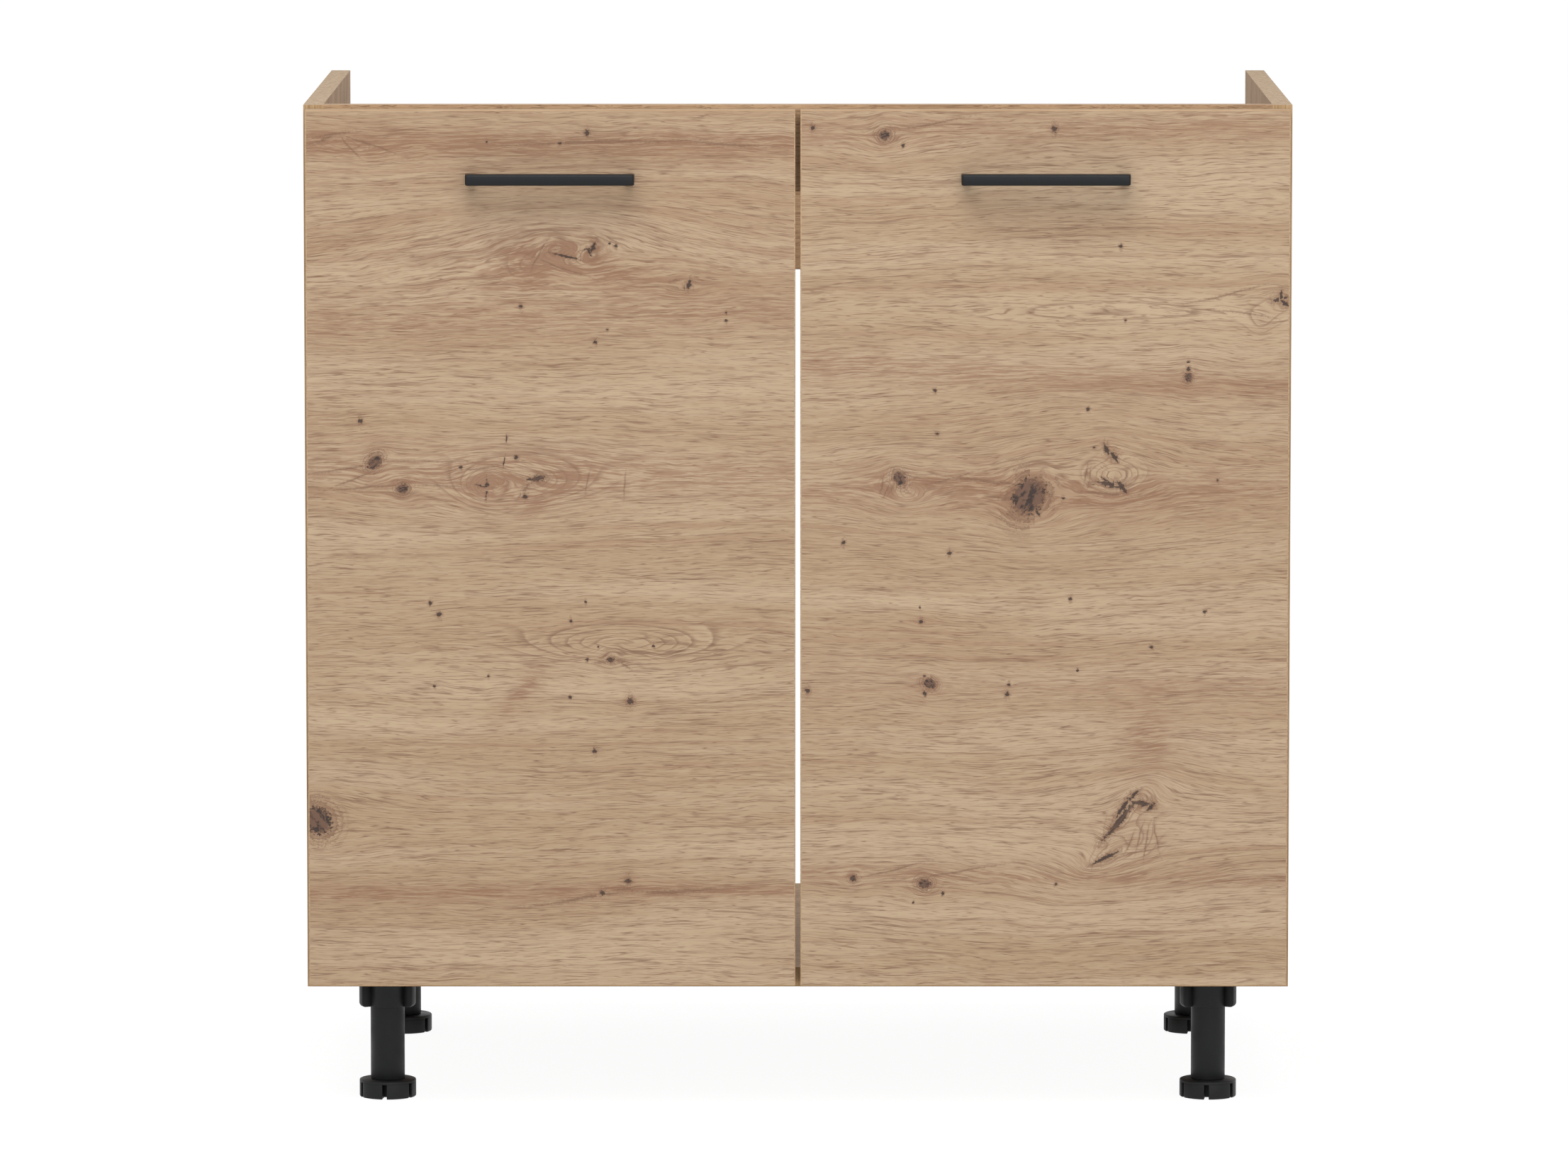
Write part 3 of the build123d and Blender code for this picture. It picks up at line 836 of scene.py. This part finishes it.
# x, z, radius
pins = {
    "left": [
        (-170, 799, 2), (-192, 790, 1.2), (-251, 790, 0.9), (-152, 709, 0.9), (-147, 707, 1.1),
        (-224, 658, 1.6), (-58, 653, 1), (-58, 646, 1.2), (-154, 639, 1), (-164, 629, 1.5),
        (-354, 565, 1.8), (-228, 535, 1.6), (-273, 527, 1.4), (-252, 513, 1.6), (-221, 504, 1.7),
        (-298, 417, 1.5), (-291, 407, 1.9), (-172, 417, 1), (-184, 402, 1.3), (-117, 382, 1.1),
        (-162, 381, 0.8), (-171, 370, 1.3), (-152, 370, 2.4), (-185, 340, 1.3), (-295, 348, 1.2),
        (-251, 357, 1), (-165, 296, 1.8), (-159, 180, 2),
    ],
    "right": [
        (12, 803, 1.8), (207, 801, 2.2), (85, 789, 1.2), (261, 706, 1.4), (316, 613, 1), (316, 607, 1.7),
        (111, 590, 1.4), (235, 575, 1.4), (113, 555, 1.3), (37, 466, 1.7), (123, 458, 1.7), (221, 420, 1.4),
        (330, 410, 1.3), (287, 381, 1.4), (100, 402, 1.7), (227, 362, 1), (103, 357, 1), (170, 342, 1.8),
        (171, 350, 1.3), (103, 343, 1.6), (8, 345, 2), (340, 517, 1), (215, 502, 1.2), (265, 647, 1),
        (210, 187, 1.1), (118, 179, 1.2), (94, 172, 0.8), (99, 414, 0.7),
    ],
}
# x, z, half length, half width, turn in degrees
cracks = {
    "left": [
        (-188, 698.5, 11, 1.1, -13), (-166, 706, 5.5, 1.4, 65), (-170, 705, 4, 1.0, 15),
        (-168, 702, 3.5, 1.2, -60), (-88.5, 676, 5, 1.6, 76), (-91.5, 674, 3, 0.8, 80),
        (-251.5, 510, 8, 0.9, 88), (-255, 512, 6, 0.8, -12), (-211, 518.5, 6.5, 2.3, 18),
        (-217, 517.5, 3, 1.2, 10), (-238, 532, 4, 0.5, 80), (-236, 551, 3, 0.6, 88),
    ],
    "right": [
        (390, 664, 7, 1.9, 14), (394, 661, 5, 1.6, -38), (391, 667, 4, 1.2, 80), (250, 542, 5.5, 1.7, -68),
        (256.5, 536, 5, 1.8, -48), (240, 543.5, 1.6, 0.7, 0), (254, 513, 12, 2.0, -10),
        (262, 511, 7, 1.9, -50), (250, 516, 6, 0.9, -32), (246, 513, 8, 0.7, -2), (194, 506, 12, 2.2, 78),
        (187, 494, 9, 1.6, -18), (179, 501, 7, 1.1, 30), (194, 491, 4, 1.1, -50), (184, 516, 9, 0.9, 22),
        (262, 239, 21, 2.4, 52), (265, 250, 13, 1.7, 56), (280, 253, 11, 2.2, -12), (287, 250, 5, 1.8, 40),
        (272, 260, 7, 1.5, 35), (250, 208, 12, 1.5, 27),
    ],
}
# the same for the brown veins
veins = {
    "left": [
        (-369, 526, 24, 0.7, 9), (-350, 511, 34, 0.6, 4), (-300, 532, 40, 0.5, 1), (-362, 517, 24, 0.5, 22),
        (-98, 679, 6, 0.7, 8), (-160, 369, 6, 1.2, 4), (-143, 370, 6, 1.6, -8), (-140, 366, 5, 0.8, -35),
        (-192, 690, 26, 0.5, -20), (-209, 700, 14, 0.6, 60), (-222, 509, 8, 1.2, 55),
        (-375, 797, 16, 0.7, 8), (-383, 793, 10, 1.2, 20), (-345, 789, 24, 0.6, -20),
        (-362, 788, 12, 0.6, -50), (-100, 181, 34, 1.2, 1), (-170, 176, 40, 1.0, 8),
        (-150, 791, 80, 0.8, 1), (-60, 789, 30, 0.8, -3), (-140, 182.5, 10, 0.7, 3),
        (-260, 527, 22, 0.5, 5), (-290, 512, 20, 0.5, -3), (-170, 516, 10, 0.5, 80),
        (-140, 513, 9, 0.5, 85),
    ],
    "right": [
        (110, 806, 26, 0.6, 10), (152, 516, 36, 0.9, -7), (165, 513, 14, 0.8, -14), (125, 519, 20, 0.5, 14),
        (72, 508, 6, 0.7, 75), (68, 513, 6, 0.6, 85), (76, 510, 5, 0.7, 70), (360, 652, 22, 0.6, -8),
        (345, 668, 26, 0.6, 14), (278, 225, 12, 0.6, 75), (284, 222, 14, 0.6, 80), (270, 221, 10, 0.6, 65),
        (292, 226, 12, 0.6, 100), (130, 197, 30, 0.6, 10), (75, 198, 26, 0.6, 14), (250, 506, 20, 1.0, -4),
        (233, 520, 8, 0.5, 80), (236, 519, 8, 0.5, 84),
    ],
}
# middle height, half height, rise per millimetre along, strength
streaks = {
    "left": [
        (790, 8, 0.0, 0.9), (182, 5, 0.01, 0.8), (655, 12, 0.03, 0.4), (522, 18, 0.0, 0.45),
        (700, 30, -0.02, 0.2),
    ],
    "right": [
        (196, 6, -0.02, 0.5), (612, 12, -0.05, 0.5), (508, 18, 0.0, 0.45), (797, 14, 0.02, 0.45),
        (350, 20, 0, 0.25),
    ],
}
print("knots:", {side: len(knots[side]) + len(pins[side]) for side in knots})

# %% [markdown]
# ## Door boards
# Fifty knots worked out anew for every ray would make the picture slow. So the door board carries
# the answer: its two faces are grids of 4 mm, and each vertex keeps how far the knots push the fibres,
# lift the rings and stain the wood. Each face also keeps how far its corners are from the
# nearest dark core, which the material turns into a sharp, ragged outline. The board starts as one
# grid. Its rim is drawn to the board's thickness, and a second grid closes it at the back. Where a hinge
# cup sits, the faces go, the rim of the gap is pulled onto a circle and drawn inwards as the bore.

# %% Model the door boards
grid_step = 4.0
cup_bore = 35.0
cup_bore_depth = 12.3


def board_grid(bm, low, high, level):
    """A fine grid over the door at one level of Y, facing the front."""
    steps = (round((high.x - low.x) / grid_step), round((high.z - low.z) / grid_step))
    verts = bmesh.ops.create_grid(bm, x_segments=steps[0], y_segments=steps[1], size=0.5)["verts"]
    middle = ((low.x + high.x) / 2, level, (low.z + high.z) / 2)
    place = Matrix.Translation(middle) @ Matrix.Rotation(math.radians(90), 4, "X")
    size = Matrix.Diagonal((high.x - low.x, high.z - low.z, 1, 1))
    bmesh.ops.transform(bm, matrix=place @ size, verts=verts)


def door_board(low, high, cups):
    """The door board with its hinge bores, from two grids and the strip between them."""
    bm = bmesh.new()
    board_grid(bm, low, high, low.y)
    rim = open_edges(bm)
    drawn = bmesh.ops.extrude_edge_only(bm, edges=rim)["geom"]
    bmesh.ops.translate(bm, vec=(0, high.y - low.y, 0), verts=verts_in(drawn))
    back = bmesh.new()
    board_grid(back, low, high, high.y)
    for cup in cups:
        inside = [f for f in back.faces if (f.calc_center_median() - cup).xz.length < cup_bore / 2]
        bmesh.ops.delete(back, geom=inside, context="FACES")
        rim_reach = cup_bore / 2 + 0.75 * grid_step
        hole = [e for e in open_edges(back) if all((v.co - cup).xz.length < rim_reach for v in e.verts)]
        for vert in {v for e in hole for v in e.verts}:
            vert.co = cup + (vert.co - cup).normalized() * cup_bore / 2
        beside = {f for e in hole for v in e.verts for f in v.link_faces}
        bmesh.ops.triangulate(back, faces=list(beside))
        wall = bmesh.ops.extrude_edge_only(back, edges=hole)["geom"]
        ends = verts_in(wall)
        bmesh.ops.translate(back, vec=(0, -cup_bore_depth, 0), verts=ends)
        end = [e for e in wall if isinstance(e, bmesh.types.BMEdge) and e.is_boundary]
        bmesh.ops.holes_fill(back, edges=end, sides=0)
    join_copy(bm, back, Matrix.Identity(4))
    back.free()
    return bm


# %% Work out the flow of the grain on a door
def flow_round_knots(x, z, figure, swell):
    """How far the knots push the fibres, lift the rings and stain the wood, at many places at once."""
    push_sum, lift_sum, stain_sum = (numpy.zeros(len(x)) for _ in range(3))
    for kx, kz, along, across, turn, push, lift, stain, _ in figure:
        angle = math.radians(turn)
        u = ((x - kx) * math.cos(angle) + (z - kz) * math.sin(angle)) / along
        v = ((z - kz) * math.cos(angle) - (x - kx) * math.sin(angle)) / across
        near = 1 / (1 + u * u + v * v)
        push_sum -= (z - kz) * push * near
        lift_sum += lift * near ** 2
        stain_sum += stain * near ** 1.5
    for kx, kz, along, across, rise in swell:
        push_sum -= rise / (1 + ((x - kx) / along) ** 2 + ((z - kz) / across) ** 2)
    return numpy.stack([push_sum, lift_sum, stain_sum], 1)


def dark_cores(side):
    """Every dark core's place, half sizes, turn and thickness. A vein's thickness is negative."""
    cores = [(x, z, along * core, across * core, turn)
             for x, z, along, across, turn, _, _, _, core in knots[side] if core]
    cores = [core + (min(core[2:4]),) for core in cores]
    cores += [(x, z, radius * 1.2, radius, 0, radius) for x, z, radius in pins[side]]
    cores += [crack + (crack[3],) for crack in cracks[side]]
    return numpy.array(cores + [vein + (-vein[3],) for vein in veins[side]], float)


vein_handicap = 2.0         # a vein counts as this much farther off, so that a knot beside it wins


def from_nearest_core(corners, centres, side):
    """For each face corner, its place as seen from the dark core that is nearest to its face."""
    cores = dark_cores(side)
    long = numpy.maximum(cores[:, 2] - cores[:, 3], 0)
    ways = numpy.radians(cores[:, 4])
    dx, dz = centres[:, None, 0] - cores[None, :, 0], centres[:, None, 1] - cores[None, :, 1]
    reach = numpy.clip(dx * numpy.cos(ways) + dz * numpy.sin(ways), -long, long)
    gap = numpy.hypot(dx - reach * numpy.cos(ways), dz - reach * numpy.sin(ways)) - cores[:, 3]
    core = cores[(gap + numpy.where(cores[:, 5] < 0, vein_handicap, 0.0)).argmin(1)]
    dx, dz, angle = corners[:, 0] - core[:, 0], corners[:, 1] - core[:, 1], numpy.radians(core[:, 4])
    u = (dx * numpy.cos(angle) + dz * numpy.sin(angle)) / core[:, 2]
    v = (dz * numpy.cos(angle) - dx * numpy.sin(angle)) / core[:, 3]
    return numpy.stack([u, v, core[:, 5]], 1)


def keep_on_mesh(mesh, name, domain, values):
    layer = mesh.attributes.new(name, "FLOAT_VECTOR", domain)
    layer.data.foreach_set("vector", values.astype(numpy.float32).ravel())


def paint_door(piece, side):
    """Keep the flow and the nearest cores on the door's mesh. The back shows the other door's figure."""
    mesh = piece.data
    verts = numpy.zeros(len(mesh.vertices) * 3)
    mesh.vertices.foreach_get("co", verts)
    verts = verts.reshape(-1, 3) * 1000
    other = "right" if side == "left" else "left"
    behind = verts[:, 1] > door_face + 0.1
    x, z = verts[:, 0], verts[:, 2]
    flow = numpy.where(behind[:, None], flow_round_knots(-x, z, knots[other], swells[other]),
                       flow_round_knots(x, z, knots[side], swells[side]))
    keep_on_mesh(mesh, "flow", "POINT", flow)
    loops, owner = numpy.zeros(len(mesh.loops), int), numpy.zeros(len(mesh.loops), int)
    mesh.loops.foreach_get("vertex_index", loops)
    for face in mesh.polygons:
        owner[face.loop_start:face.loop_start + face.loop_total] = face.index
    centres = numpy.zeros(len(mesh.polygons) * 3)
    mesh.polygons.foreach_get("center", centres)
    centres = centres.reshape(-1, 3)[owner] * 1000
    corners = verts[loops]
    front = from_nearest_core(corners[:, [0, 2]], centres[:, [0, 2]], side)
    flip = numpy.array([-1, 1])
    rear = from_nearest_core(corners[:, [0, 2]] * flip, centres[:, [0, 2]] * flip, other)
    keep_on_mesh(mesh, "core", "CORNER", numpy.where((centres[:, 1] > door_face + 0.1)[:, None], rear, front))


for side in ("left", "right"):
    low, high = span("door_" + side)
    outward = 1 if side == "right" else -1
    cup_x = outward * (carcass_high.x - cup_inset)
    cups = [Vector((cup_x, high.y, z)) for z in hinge_levels[side]]
    door_piece = finish_piece(door_board(low, high, cups), "door_board_" + side, side + "_door",
                              "door_" + side, instead_of=["door_" + side])
    paint_door(door_piece, side)

# %% [markdown]
# ## Decor of the doors
# The material reads what the mesh kept. The push bends the grain, the lift closes the year rings round a
# knot, and the stain darkens the wood. Each dark core then gets a ragged edge, thin rings and a soft
# halo. A core is only drawn where its edge is near, so the rest of the door stays plain grain.

# %% Build the decor of each door
oak_tones = {"Light": tone(198, 173, 143), "Middle": tone(183, 155, 124), "Dark": tone(164, 128, 100),
             "Line": tone(124, 91, 69)}
ring_spacing = 11.0
ring_lift = 1.3


def kept(tree, name):
    """What the mesh keeps at this place."""
    return node(tree, "ShaderNodeAttribute", attribute_name=name, attribute_type="GEOMETRY").outputs["Vector"]


def door_decor(side):
    tree, shader = finish_tree("door_" + side)
    place = millimetres(tree)
    x, y, z = separate(tree, place)
    shift, lift, stain = separate(tree, kept(tree, "flow"))
    sway_noise = noise(tree, vector(tree, "MULTIPLY", place, (0.003, 0.003, 0.009)), 2)
    sway = times(tree, minus(tree, sway_noise, 0.5), 22.0)
    ripple_noise = noise(tree, vector(tree, "MULTIPLY", place, (0.022, 0.02, 0.05)), 2)
    ripple = times(tree, minus(tree, ripple_noise, 0.5), 5.0)
    across = plus(tree, plus(tree, z, shift), plus(tree, sway, ripple))
    rings = calc(tree, "MULTIPLY_ADD", lift, ring_lift, calc(tree, "DIVIDE", across, ring_spacing))
    grain = use_group(tree, oak_grain, {"Along": x, "Across": across, "Through": y, "Rings": rings,
                                        "Ring strength": remap(tree, lift, 0.2, 1.6, 0.15, 1.0), **oak_tones})

    for height, half, slope, strength in streaks[side]:
        middle = calc(tree, "MULTIPLY_ADD", x, slope, height)
        off = calc(tree, "MULTIPLY_ADD", sway, 0.5, minus(tree, z, middle))
        off = calc(tree, "DIVIDE", off, half)
        stain = plus(tree, stain, calc(tree, "DIVIDE", strength, calc(tree, "MULTIPLY_ADD", off, off, 1.0)))
    drawn_out = combine(tree, times(tree, x, 0.025), times(tree, across, 0.5), 0.0)
    patch = remap(tree, noise(tree, drawn_out, 3, 0.75), 0.44, 0.58, 0.3, 1.35)
    soft_stain = calc(tree, "MINIMUM", calc(tree, "MAXIMUM", times(tree, stain, patch), 0.0), 0.8)
    color = mix(tree, soft_stain, grain["Color"], tone(146, 107, 82))

    u, v, size = separate(tree, kept(tree, "core"))
    blunt = remap(tree, size, 2.2, 2.6)
    wide = calc(tree, "ABSOLUTE", plus(tree, v, calc(tree, "DIVIDE", ripple, size)))
    wide = times(tree, wide, calc(tree, "MULTIPLY_ADD", minus(tree, wide, 1.0), blunt, 1.0))
    far = calc(tree, "MULTIPLY_ADD", u, u, wide)
    rough_edge = noise(tree, vector(tree, "MULTIPLY", place, (0.42, 0.0, 0.5)), 3, 0.65)
    ragged = remap(tree, rough_edge, 0.3, 0.7, 0.5, 1.7)
    edge = times(tree, far, ragged)
    knot = remap(tree, size, 1.5, 3.0)
    inside = remap(tree, edge, 0.75, 1.15, 1.0, 0.0)
    crack = noise(tree, combine(tree, times(tree, u, 1.3), times(tree, v, 2.2), size), 3, 0.65)
    brown = times(tree, remap(tree, crack, 0.42, 0.55), knot)
    inner = mix(tree, brown, mix(tree, knot, tone(66, 51, 43), tone(50, 39, 36)), tone(112, 84, 68))
    outward = times(tree, calc(tree, "SQRT", far), 2.4)
    ringlet = calc(tree, "FRACT", calc(tree, "MULTIPLY_ADD", ragged, 0.5, outward))
    ringlet = times(tree, remap(tree, ringlet, 0.55, 0.95), remap(tree, far, 1.4, 7.0, 0.7, 0.0))
    color = mix(tree, times(tree, ringlet, knot), color, tone(120, 88, 68))
    halo = remap(tree, edge, 0.9, 3.4, 0.6, 0.0)
    dark = calc(tree, "GREATER_THAN", size, 0.0)
    color = mix(tree, times(tree, halo, calc(tree, "MULTIPLY_ADD", dark, 0.5, 0.5)), color, tone(132, 99, 76))
    color = mix(tree, times(tree, inside, calc(tree, "MULTIPLY_ADD", dark, 0.5, 0.45)), color,
                mix(tree, dark, tone(118, 86, 65), inner))
    relief = use_group(tree, fibre_relief, {"Along": x, "Across": z, "Through": y})["Height"]
    wire(tree, shader, color, grain["Roughness"], bump(tree, relief, 0.12, 0.6))
    return len(tree.nodes)


print("door decor nodes:", {side: door_decor(side) for side in ("left", "right")})

# %% [markdown]
# ## Carcass boards
# The carcass wears a calmer oak without knots. The grain stands upright on the sides and lies along
# the rails and the bottom. Where a board was sawn and not banded, its chipboard core shows: a felt of
# pale and brown chips. The material tells the two apart by the direction in which a face looks.

# %% Build the board finishes
def chipboard(tree, place):
    """The look of a sawn chipboard edge: many flat chips, a few of them dark."""
    chips = node(tree, "ShaderNodeTexVoronoi", {"Vector": place, "Scale": 0.55, "Randomness": 1.0})
    pick = separate(tree, chips.outputs["Color"])[0]
    fine = noise(tree, place, 3, 0.7, 0.9)
    color = mix(tree, remap(tree, pick, 0.2, 0.9), tone(202, 178, 150), tone(176, 150, 122))
    return mix(tree, remap(tree, fine, 0.52, 0.72, 0.0, 0.55), color, tone(140, 112, 86))


def board_decor(name, upright, sawn):
    """Oak with the grain along Z or X; faces whose normal has its largest part on a sawn axis show chips."""
    tree, shader = finish_tree(name, 0.2)
    place = millimetres(tree)
    x, y, z = separate(tree, place)
    along, across, through = (z, y, x) if upright else (x, y, z)
    sway = times(tree, noise(tree, vector(tree, "MULTIPLY", place, (0.008, 0.008, 0.004)), 2), 30.0)
    across = plus(tree, across, sway)
    rings = calc(tree, "DIVIDE", plus(tree, across, through), ring_spacing)
    grain = use_group(tree, oak_grain, {
        "Along": along, "Across": across, "Through": through, "Rings": rings, "Ring strength": 0.4,
        "Light": tone(200, 168, 133), "Middle": tone(184, 151, 118), "Dark": tone(161, 126, 94),
        "Line": tone(120, 89, 65)})
    normal = separate(tree, node(tree, "ShaderNodeTexCoord").outputs["Normal"])
    cut = 0.0
    for axis in sawn:
        slope = calc(tree, "ABSOLUTE", normal["XYZ".index(axis)])
        cut = calc(tree, "MAXIMUM", cut, calc(tree, "GREATER_THAN", slope, 0.7))
    color = mix(tree, cut, grain["Color"], chipboard(tree, place))
    roughness = calc(tree, "MULTIPLY_ADD", cut, 0.15, plus(tree, grain["Roughness"], 0.12))
    relief = use_group(tree, fibre_relief, {"Along": along, "Across": across, "Through": through})["Height"]
    wire(tree, shader, color, roughness, bump(tree, relief, 0.1, 0.5))


board_decor("oak_upright", True, "YZ")
board_decor("oak_level", False, "Y")
board_decor("oak_rail", False, "")


# %% Build the edge band finish
def band_decor(name, upright, light, dark):
    """A printed plastic band: fine lines along the grain on a slightly warmer ground."""
    tree, shader = finish_tree(name, 0.25)
    x, y, z = separate(tree, millimetres(tree))
    along, across = (z, x) if upright else (x, z)
    stretched = combine(tree, times(tree, along, 0.03), times(tree, across, 0.9),
                        times(tree, y, 0.9))
    lines = noise(tree, stretched, 3, 0.6)
    color = mix(tree, remap(tree, lines, 0.35, 0.65), light, dark)
    wire(tree, shader, color, remap(tree, lines, 0.3, 0.7, 0.5, 0.66), bump(tree, lines, 0.04, 0.5))


band_decor("band", False, tone(198, 168, 134), tone(178, 146, 112))
band_decor("band_upright", True, tone(200, 170, 130), tone(172, 140, 102))

# %% [markdown]
# ## Plastic, powder coat and plated steel
# The legs are moulded in black plastic with a fine spark-eroded texture, whose raised points carry a painted
# highlight. The handles are powder coated, which leaves a slight orange peel. The hinges are pressed steel
# with a nickel plating, a little cloudy and finely scratched from front to back. Caps and buffers share one
# pale plastic in two tones.

# %% Build the plastic, coat and steel finishes
def moulded_plastic():
    tree, shader = finish_tree("plastic", 0.25)
    place = millimetres(tree)
    grit = noise(tree, place, 2, 0.6, 2.2)
    cloud = noise(tree, place, 2, 0.5, 0.05)
    color = mix(tree, remap(tree, cloud, 0.35, 0.65), tone(20, 21, 22), tone(28, 29, 30))
    # Paler specks on the raised points of the grit: a painted highlight on the fine texture.
    grit_highlight = mix(tree, remap(tree, grit, 0.62, 0.75, 0.0, 0.25), color, tone(60, 60, 60))
    wear = plus(tree, times(tree, grit, 0.4), times(tree, cloud, 0.6))
    wire(tree, shader, grit_highlight, remap(tree, wear, 0.35, 0.65, 0.42, 0.62), bump(tree, grit, 0.03, 0.4))


def powder_coat():
    tree, shader = finish_tree("handle", 0.25)
    place = millimetres(tree)
    peel = noise(tree, place, 2, 0.5, 1.4)
    speck = noise(tree, place, 1, 0.5, 4.0)
    color = mix(tree, remap(tree, speck, 0.4, 0.7), tone(20, 21, 23), tone(30, 31, 33))
    wire(tree, shader, color, remap(tree, peel, 0.3, 0.7, 0.4, 0.56), bump(tree, peel, 0.03, 0.35))


def plated_steel():
    tree, shader = finish_tree("steel", 0.5)
    place = millimetres(tree)
    cloud = noise(tree, place, 2, 0.5, 0.12)
    scratches = noise(tree, vector(tree, "MULTIPLY", place, (3.0, 0.15, 3.0)), 3, 0.7)
    color = mix(tree, remap(tree, cloud, 0.35, 0.65), tone(206, 204, 198), tone(188, 184, 175))
    scratched = mix(tree, remap(tree, scratches, 0.55, 0.7, 0.0, 0.3), color, tone(150, 146, 138))
    roughness = remap(tree, plus(tree, cloud, scratches), 0.7, 1.3, 0.24, 0.42)
    wire(tree, shader, scratched, roughness, bump(tree, scratches, 0.01, 0.4))
    shader["Metallic"].default_value = 1.0


def pale_plastic(name, light, dark):
    """Soft or hard plastic in a pale tone, a little cloudy."""
    tree, shader = finish_tree(name)
    place = millimetres(tree)
    cloud, grit = noise(tree, place, 2, 0.5, 0.2), noise(tree, place, 2, 0.6, 2.5)
    color = mix(tree, remap(tree, cloud, 0.35, 0.65), light, dark)
    wire(tree, shader, color, remap(tree, grit, 0.3, 0.7, 0.4, 0.55), bump(tree, grit, 0.02, 0.3))


moulded_plastic()
powder_coat()
plated_steel()
pale_plastic("cap", tone(186, 158, 128), tone(176, 148, 118))
pale_plastic("buffer", tone(206, 202, 194), tone(190, 186, 178))
print("finishes:", sorted(materials))

# %% [markdown]
# ## Dressing the CAD nodes
# The carcass boards are flat, and their CAD meshes are already right. They stay as they are and only get
# their finishes. Nodes that a new piece replaced are dressed too, but they aren't shown.

# %% Give every CAD node its finish
node_finish = {"side_panel": "oak_upright", "bottom_panel": "oak_level", "front_rail": "oak_rail",
               "rear_rail": "oak_rail", "carcass_edging": "band_upright", "leg": "plastic",
               "door_edging": "band", "door_left": "door_left", "door_right": "door_right",
               "handle": "handle", "hinge": "steel"}
for name, cad_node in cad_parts.items():
    finish = next(node_finish[start] for start in node_finish if name.startswith(start))
    cad_node.data.materials.clear()
    cad_node.data.materials.append(materials[finish])
print("dressed", len(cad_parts), "CAD nodes")

# %% [markdown]
# ## Floor and light
# The photograph was made in front of white. The floor is white for the camera by its own colour and
# not by more light, and it still takes part of the cabinet's shadow. Large soft lamps stand above and in
# front, so that the handles throw a short soft shadow downwards. All lamps together light a surface
# so that its colour renders about as it is written.

# %% Make the floor
def white_for_camera(tree, output, plain, white):
    """Mix two shaders so that the camera, reflections and glass see the white one."""
    path = node(tree, "ShaderNodeLightPath").outputs
    mirrored = calc(tree, "MAXIMUM", path["Is Glossy Ray"], path["Is Transmission Ray"])
    seen = calc(tree, "MAXIMUM", path["Is Camera Ray"], mirrored)
    tree.links.new(node(tree, "ShaderNodeMixShader", {0: seen, 1: plain, 2: white}).outputs[0], output)


bm = bmesh.new()
bmesh.ops.create_grid(bm, x_segments=8, y_segments=8, size=60)
floor_mesh = bpy.data.meshes.new("floor")
bm.to_mesh(floor_mesh)
bm.free()
floor = add_object("floor", floor_mesh)
paper = bpy.data.materials.new("white_paper")
paper.use_nodes = True
floor_mesh.materials.append(paper)
tree = paper.node_tree
plain = node(tree, "ShaderNodeBsdfDiffuse", {"Color": (0.8, 0.8, 0.8, 1)}).outputs[0]
glow = node(tree, "ShaderNodeEmission", {"Color": (1, 1, 1, 1), "Strength": 1.07}).outputs[0]
shaded = node(tree, "ShaderNodeBsdfDiffuse", {"Color": (0.95, 0.95, 0.95, 1)}).outputs[0]
white = node(tree, "ShaderNodeMixShader", {0: 0.12, 1: glow, 2: shaded}).outputs[0]
white_for_camera(tree, tree.nodes["Material Output"].inputs["Surface"], plain, white)

# %% Light the cabinet
world = bpy.data.worlds.new("studio")
bpy.context.scene.world = world
world.use_nodes = True
tree = world.node_tree
ambient = node(tree, "ShaderNodeBackground", {"Color": (1, 1, 1, 1), "Strength": 0.56}).outputs[0]
clear = node(tree, "ShaderNodeBackground", {"Color": (1, 1, 1, 1), "Strength": 1.0}).outputs[0]
white_for_camera(tree, tree.nodes["World Output"].inputs["Surface"], ambient, clear)


cabinet_middle = Vector((0, 0, 0.45))


def softbox(name, place, width, height, power):
    """A square lamp that looks at the middle of the cabinet."""
    lamp = bpy.data.lights.new(name, "AREA")
    lamp.shape = "RECTANGLE"
    lamp.size = width
    lamp.size_y = height
    lamp.energy = power
    box = add_object(name, lamp)
    box.location = place
    box.rotation_euler = (cabinet_middle - box.location).to_track_quat("-Z", "Y").to_euler()


softbox("lamp_above", (-0.3, -2.2, 3.2), 2.6, 1.8, 54)
softbox("lamp_front", (1.4, -4.4, 1.9), 2.4, 2.4, 34)

# %% [markdown]
# ## Camera
# The photograph looks at the doors from straight ahead and from about 1.3 m up, with a long lens from
# about 8 m. The carcass front is used as the plane on which widths and heights were measured.

# %% Place the camera
view_height = 1.3025
view_distance = 8.1
tilt = 6.168
camera_data = bpy.data.cameras.new("camera")
camera = add_object("camera", camera_data)
camera.location = (-0.0004, carcass_front / 1000 - view_distance, view_height)
camera.rotation_euler = (math.radians(90 - tilt), 0, 0)
camera_data.sensor_width = 36
camera_data.lens = 230.14
camera_data.shift_x = -0.0085
camera_data.clip_end = 200
bpy.context.scene.camera = camera
bpy.context.scene.view_settings.view_transform = "Standard"
print("camera at", [round(v, 3) for v in camera.location])
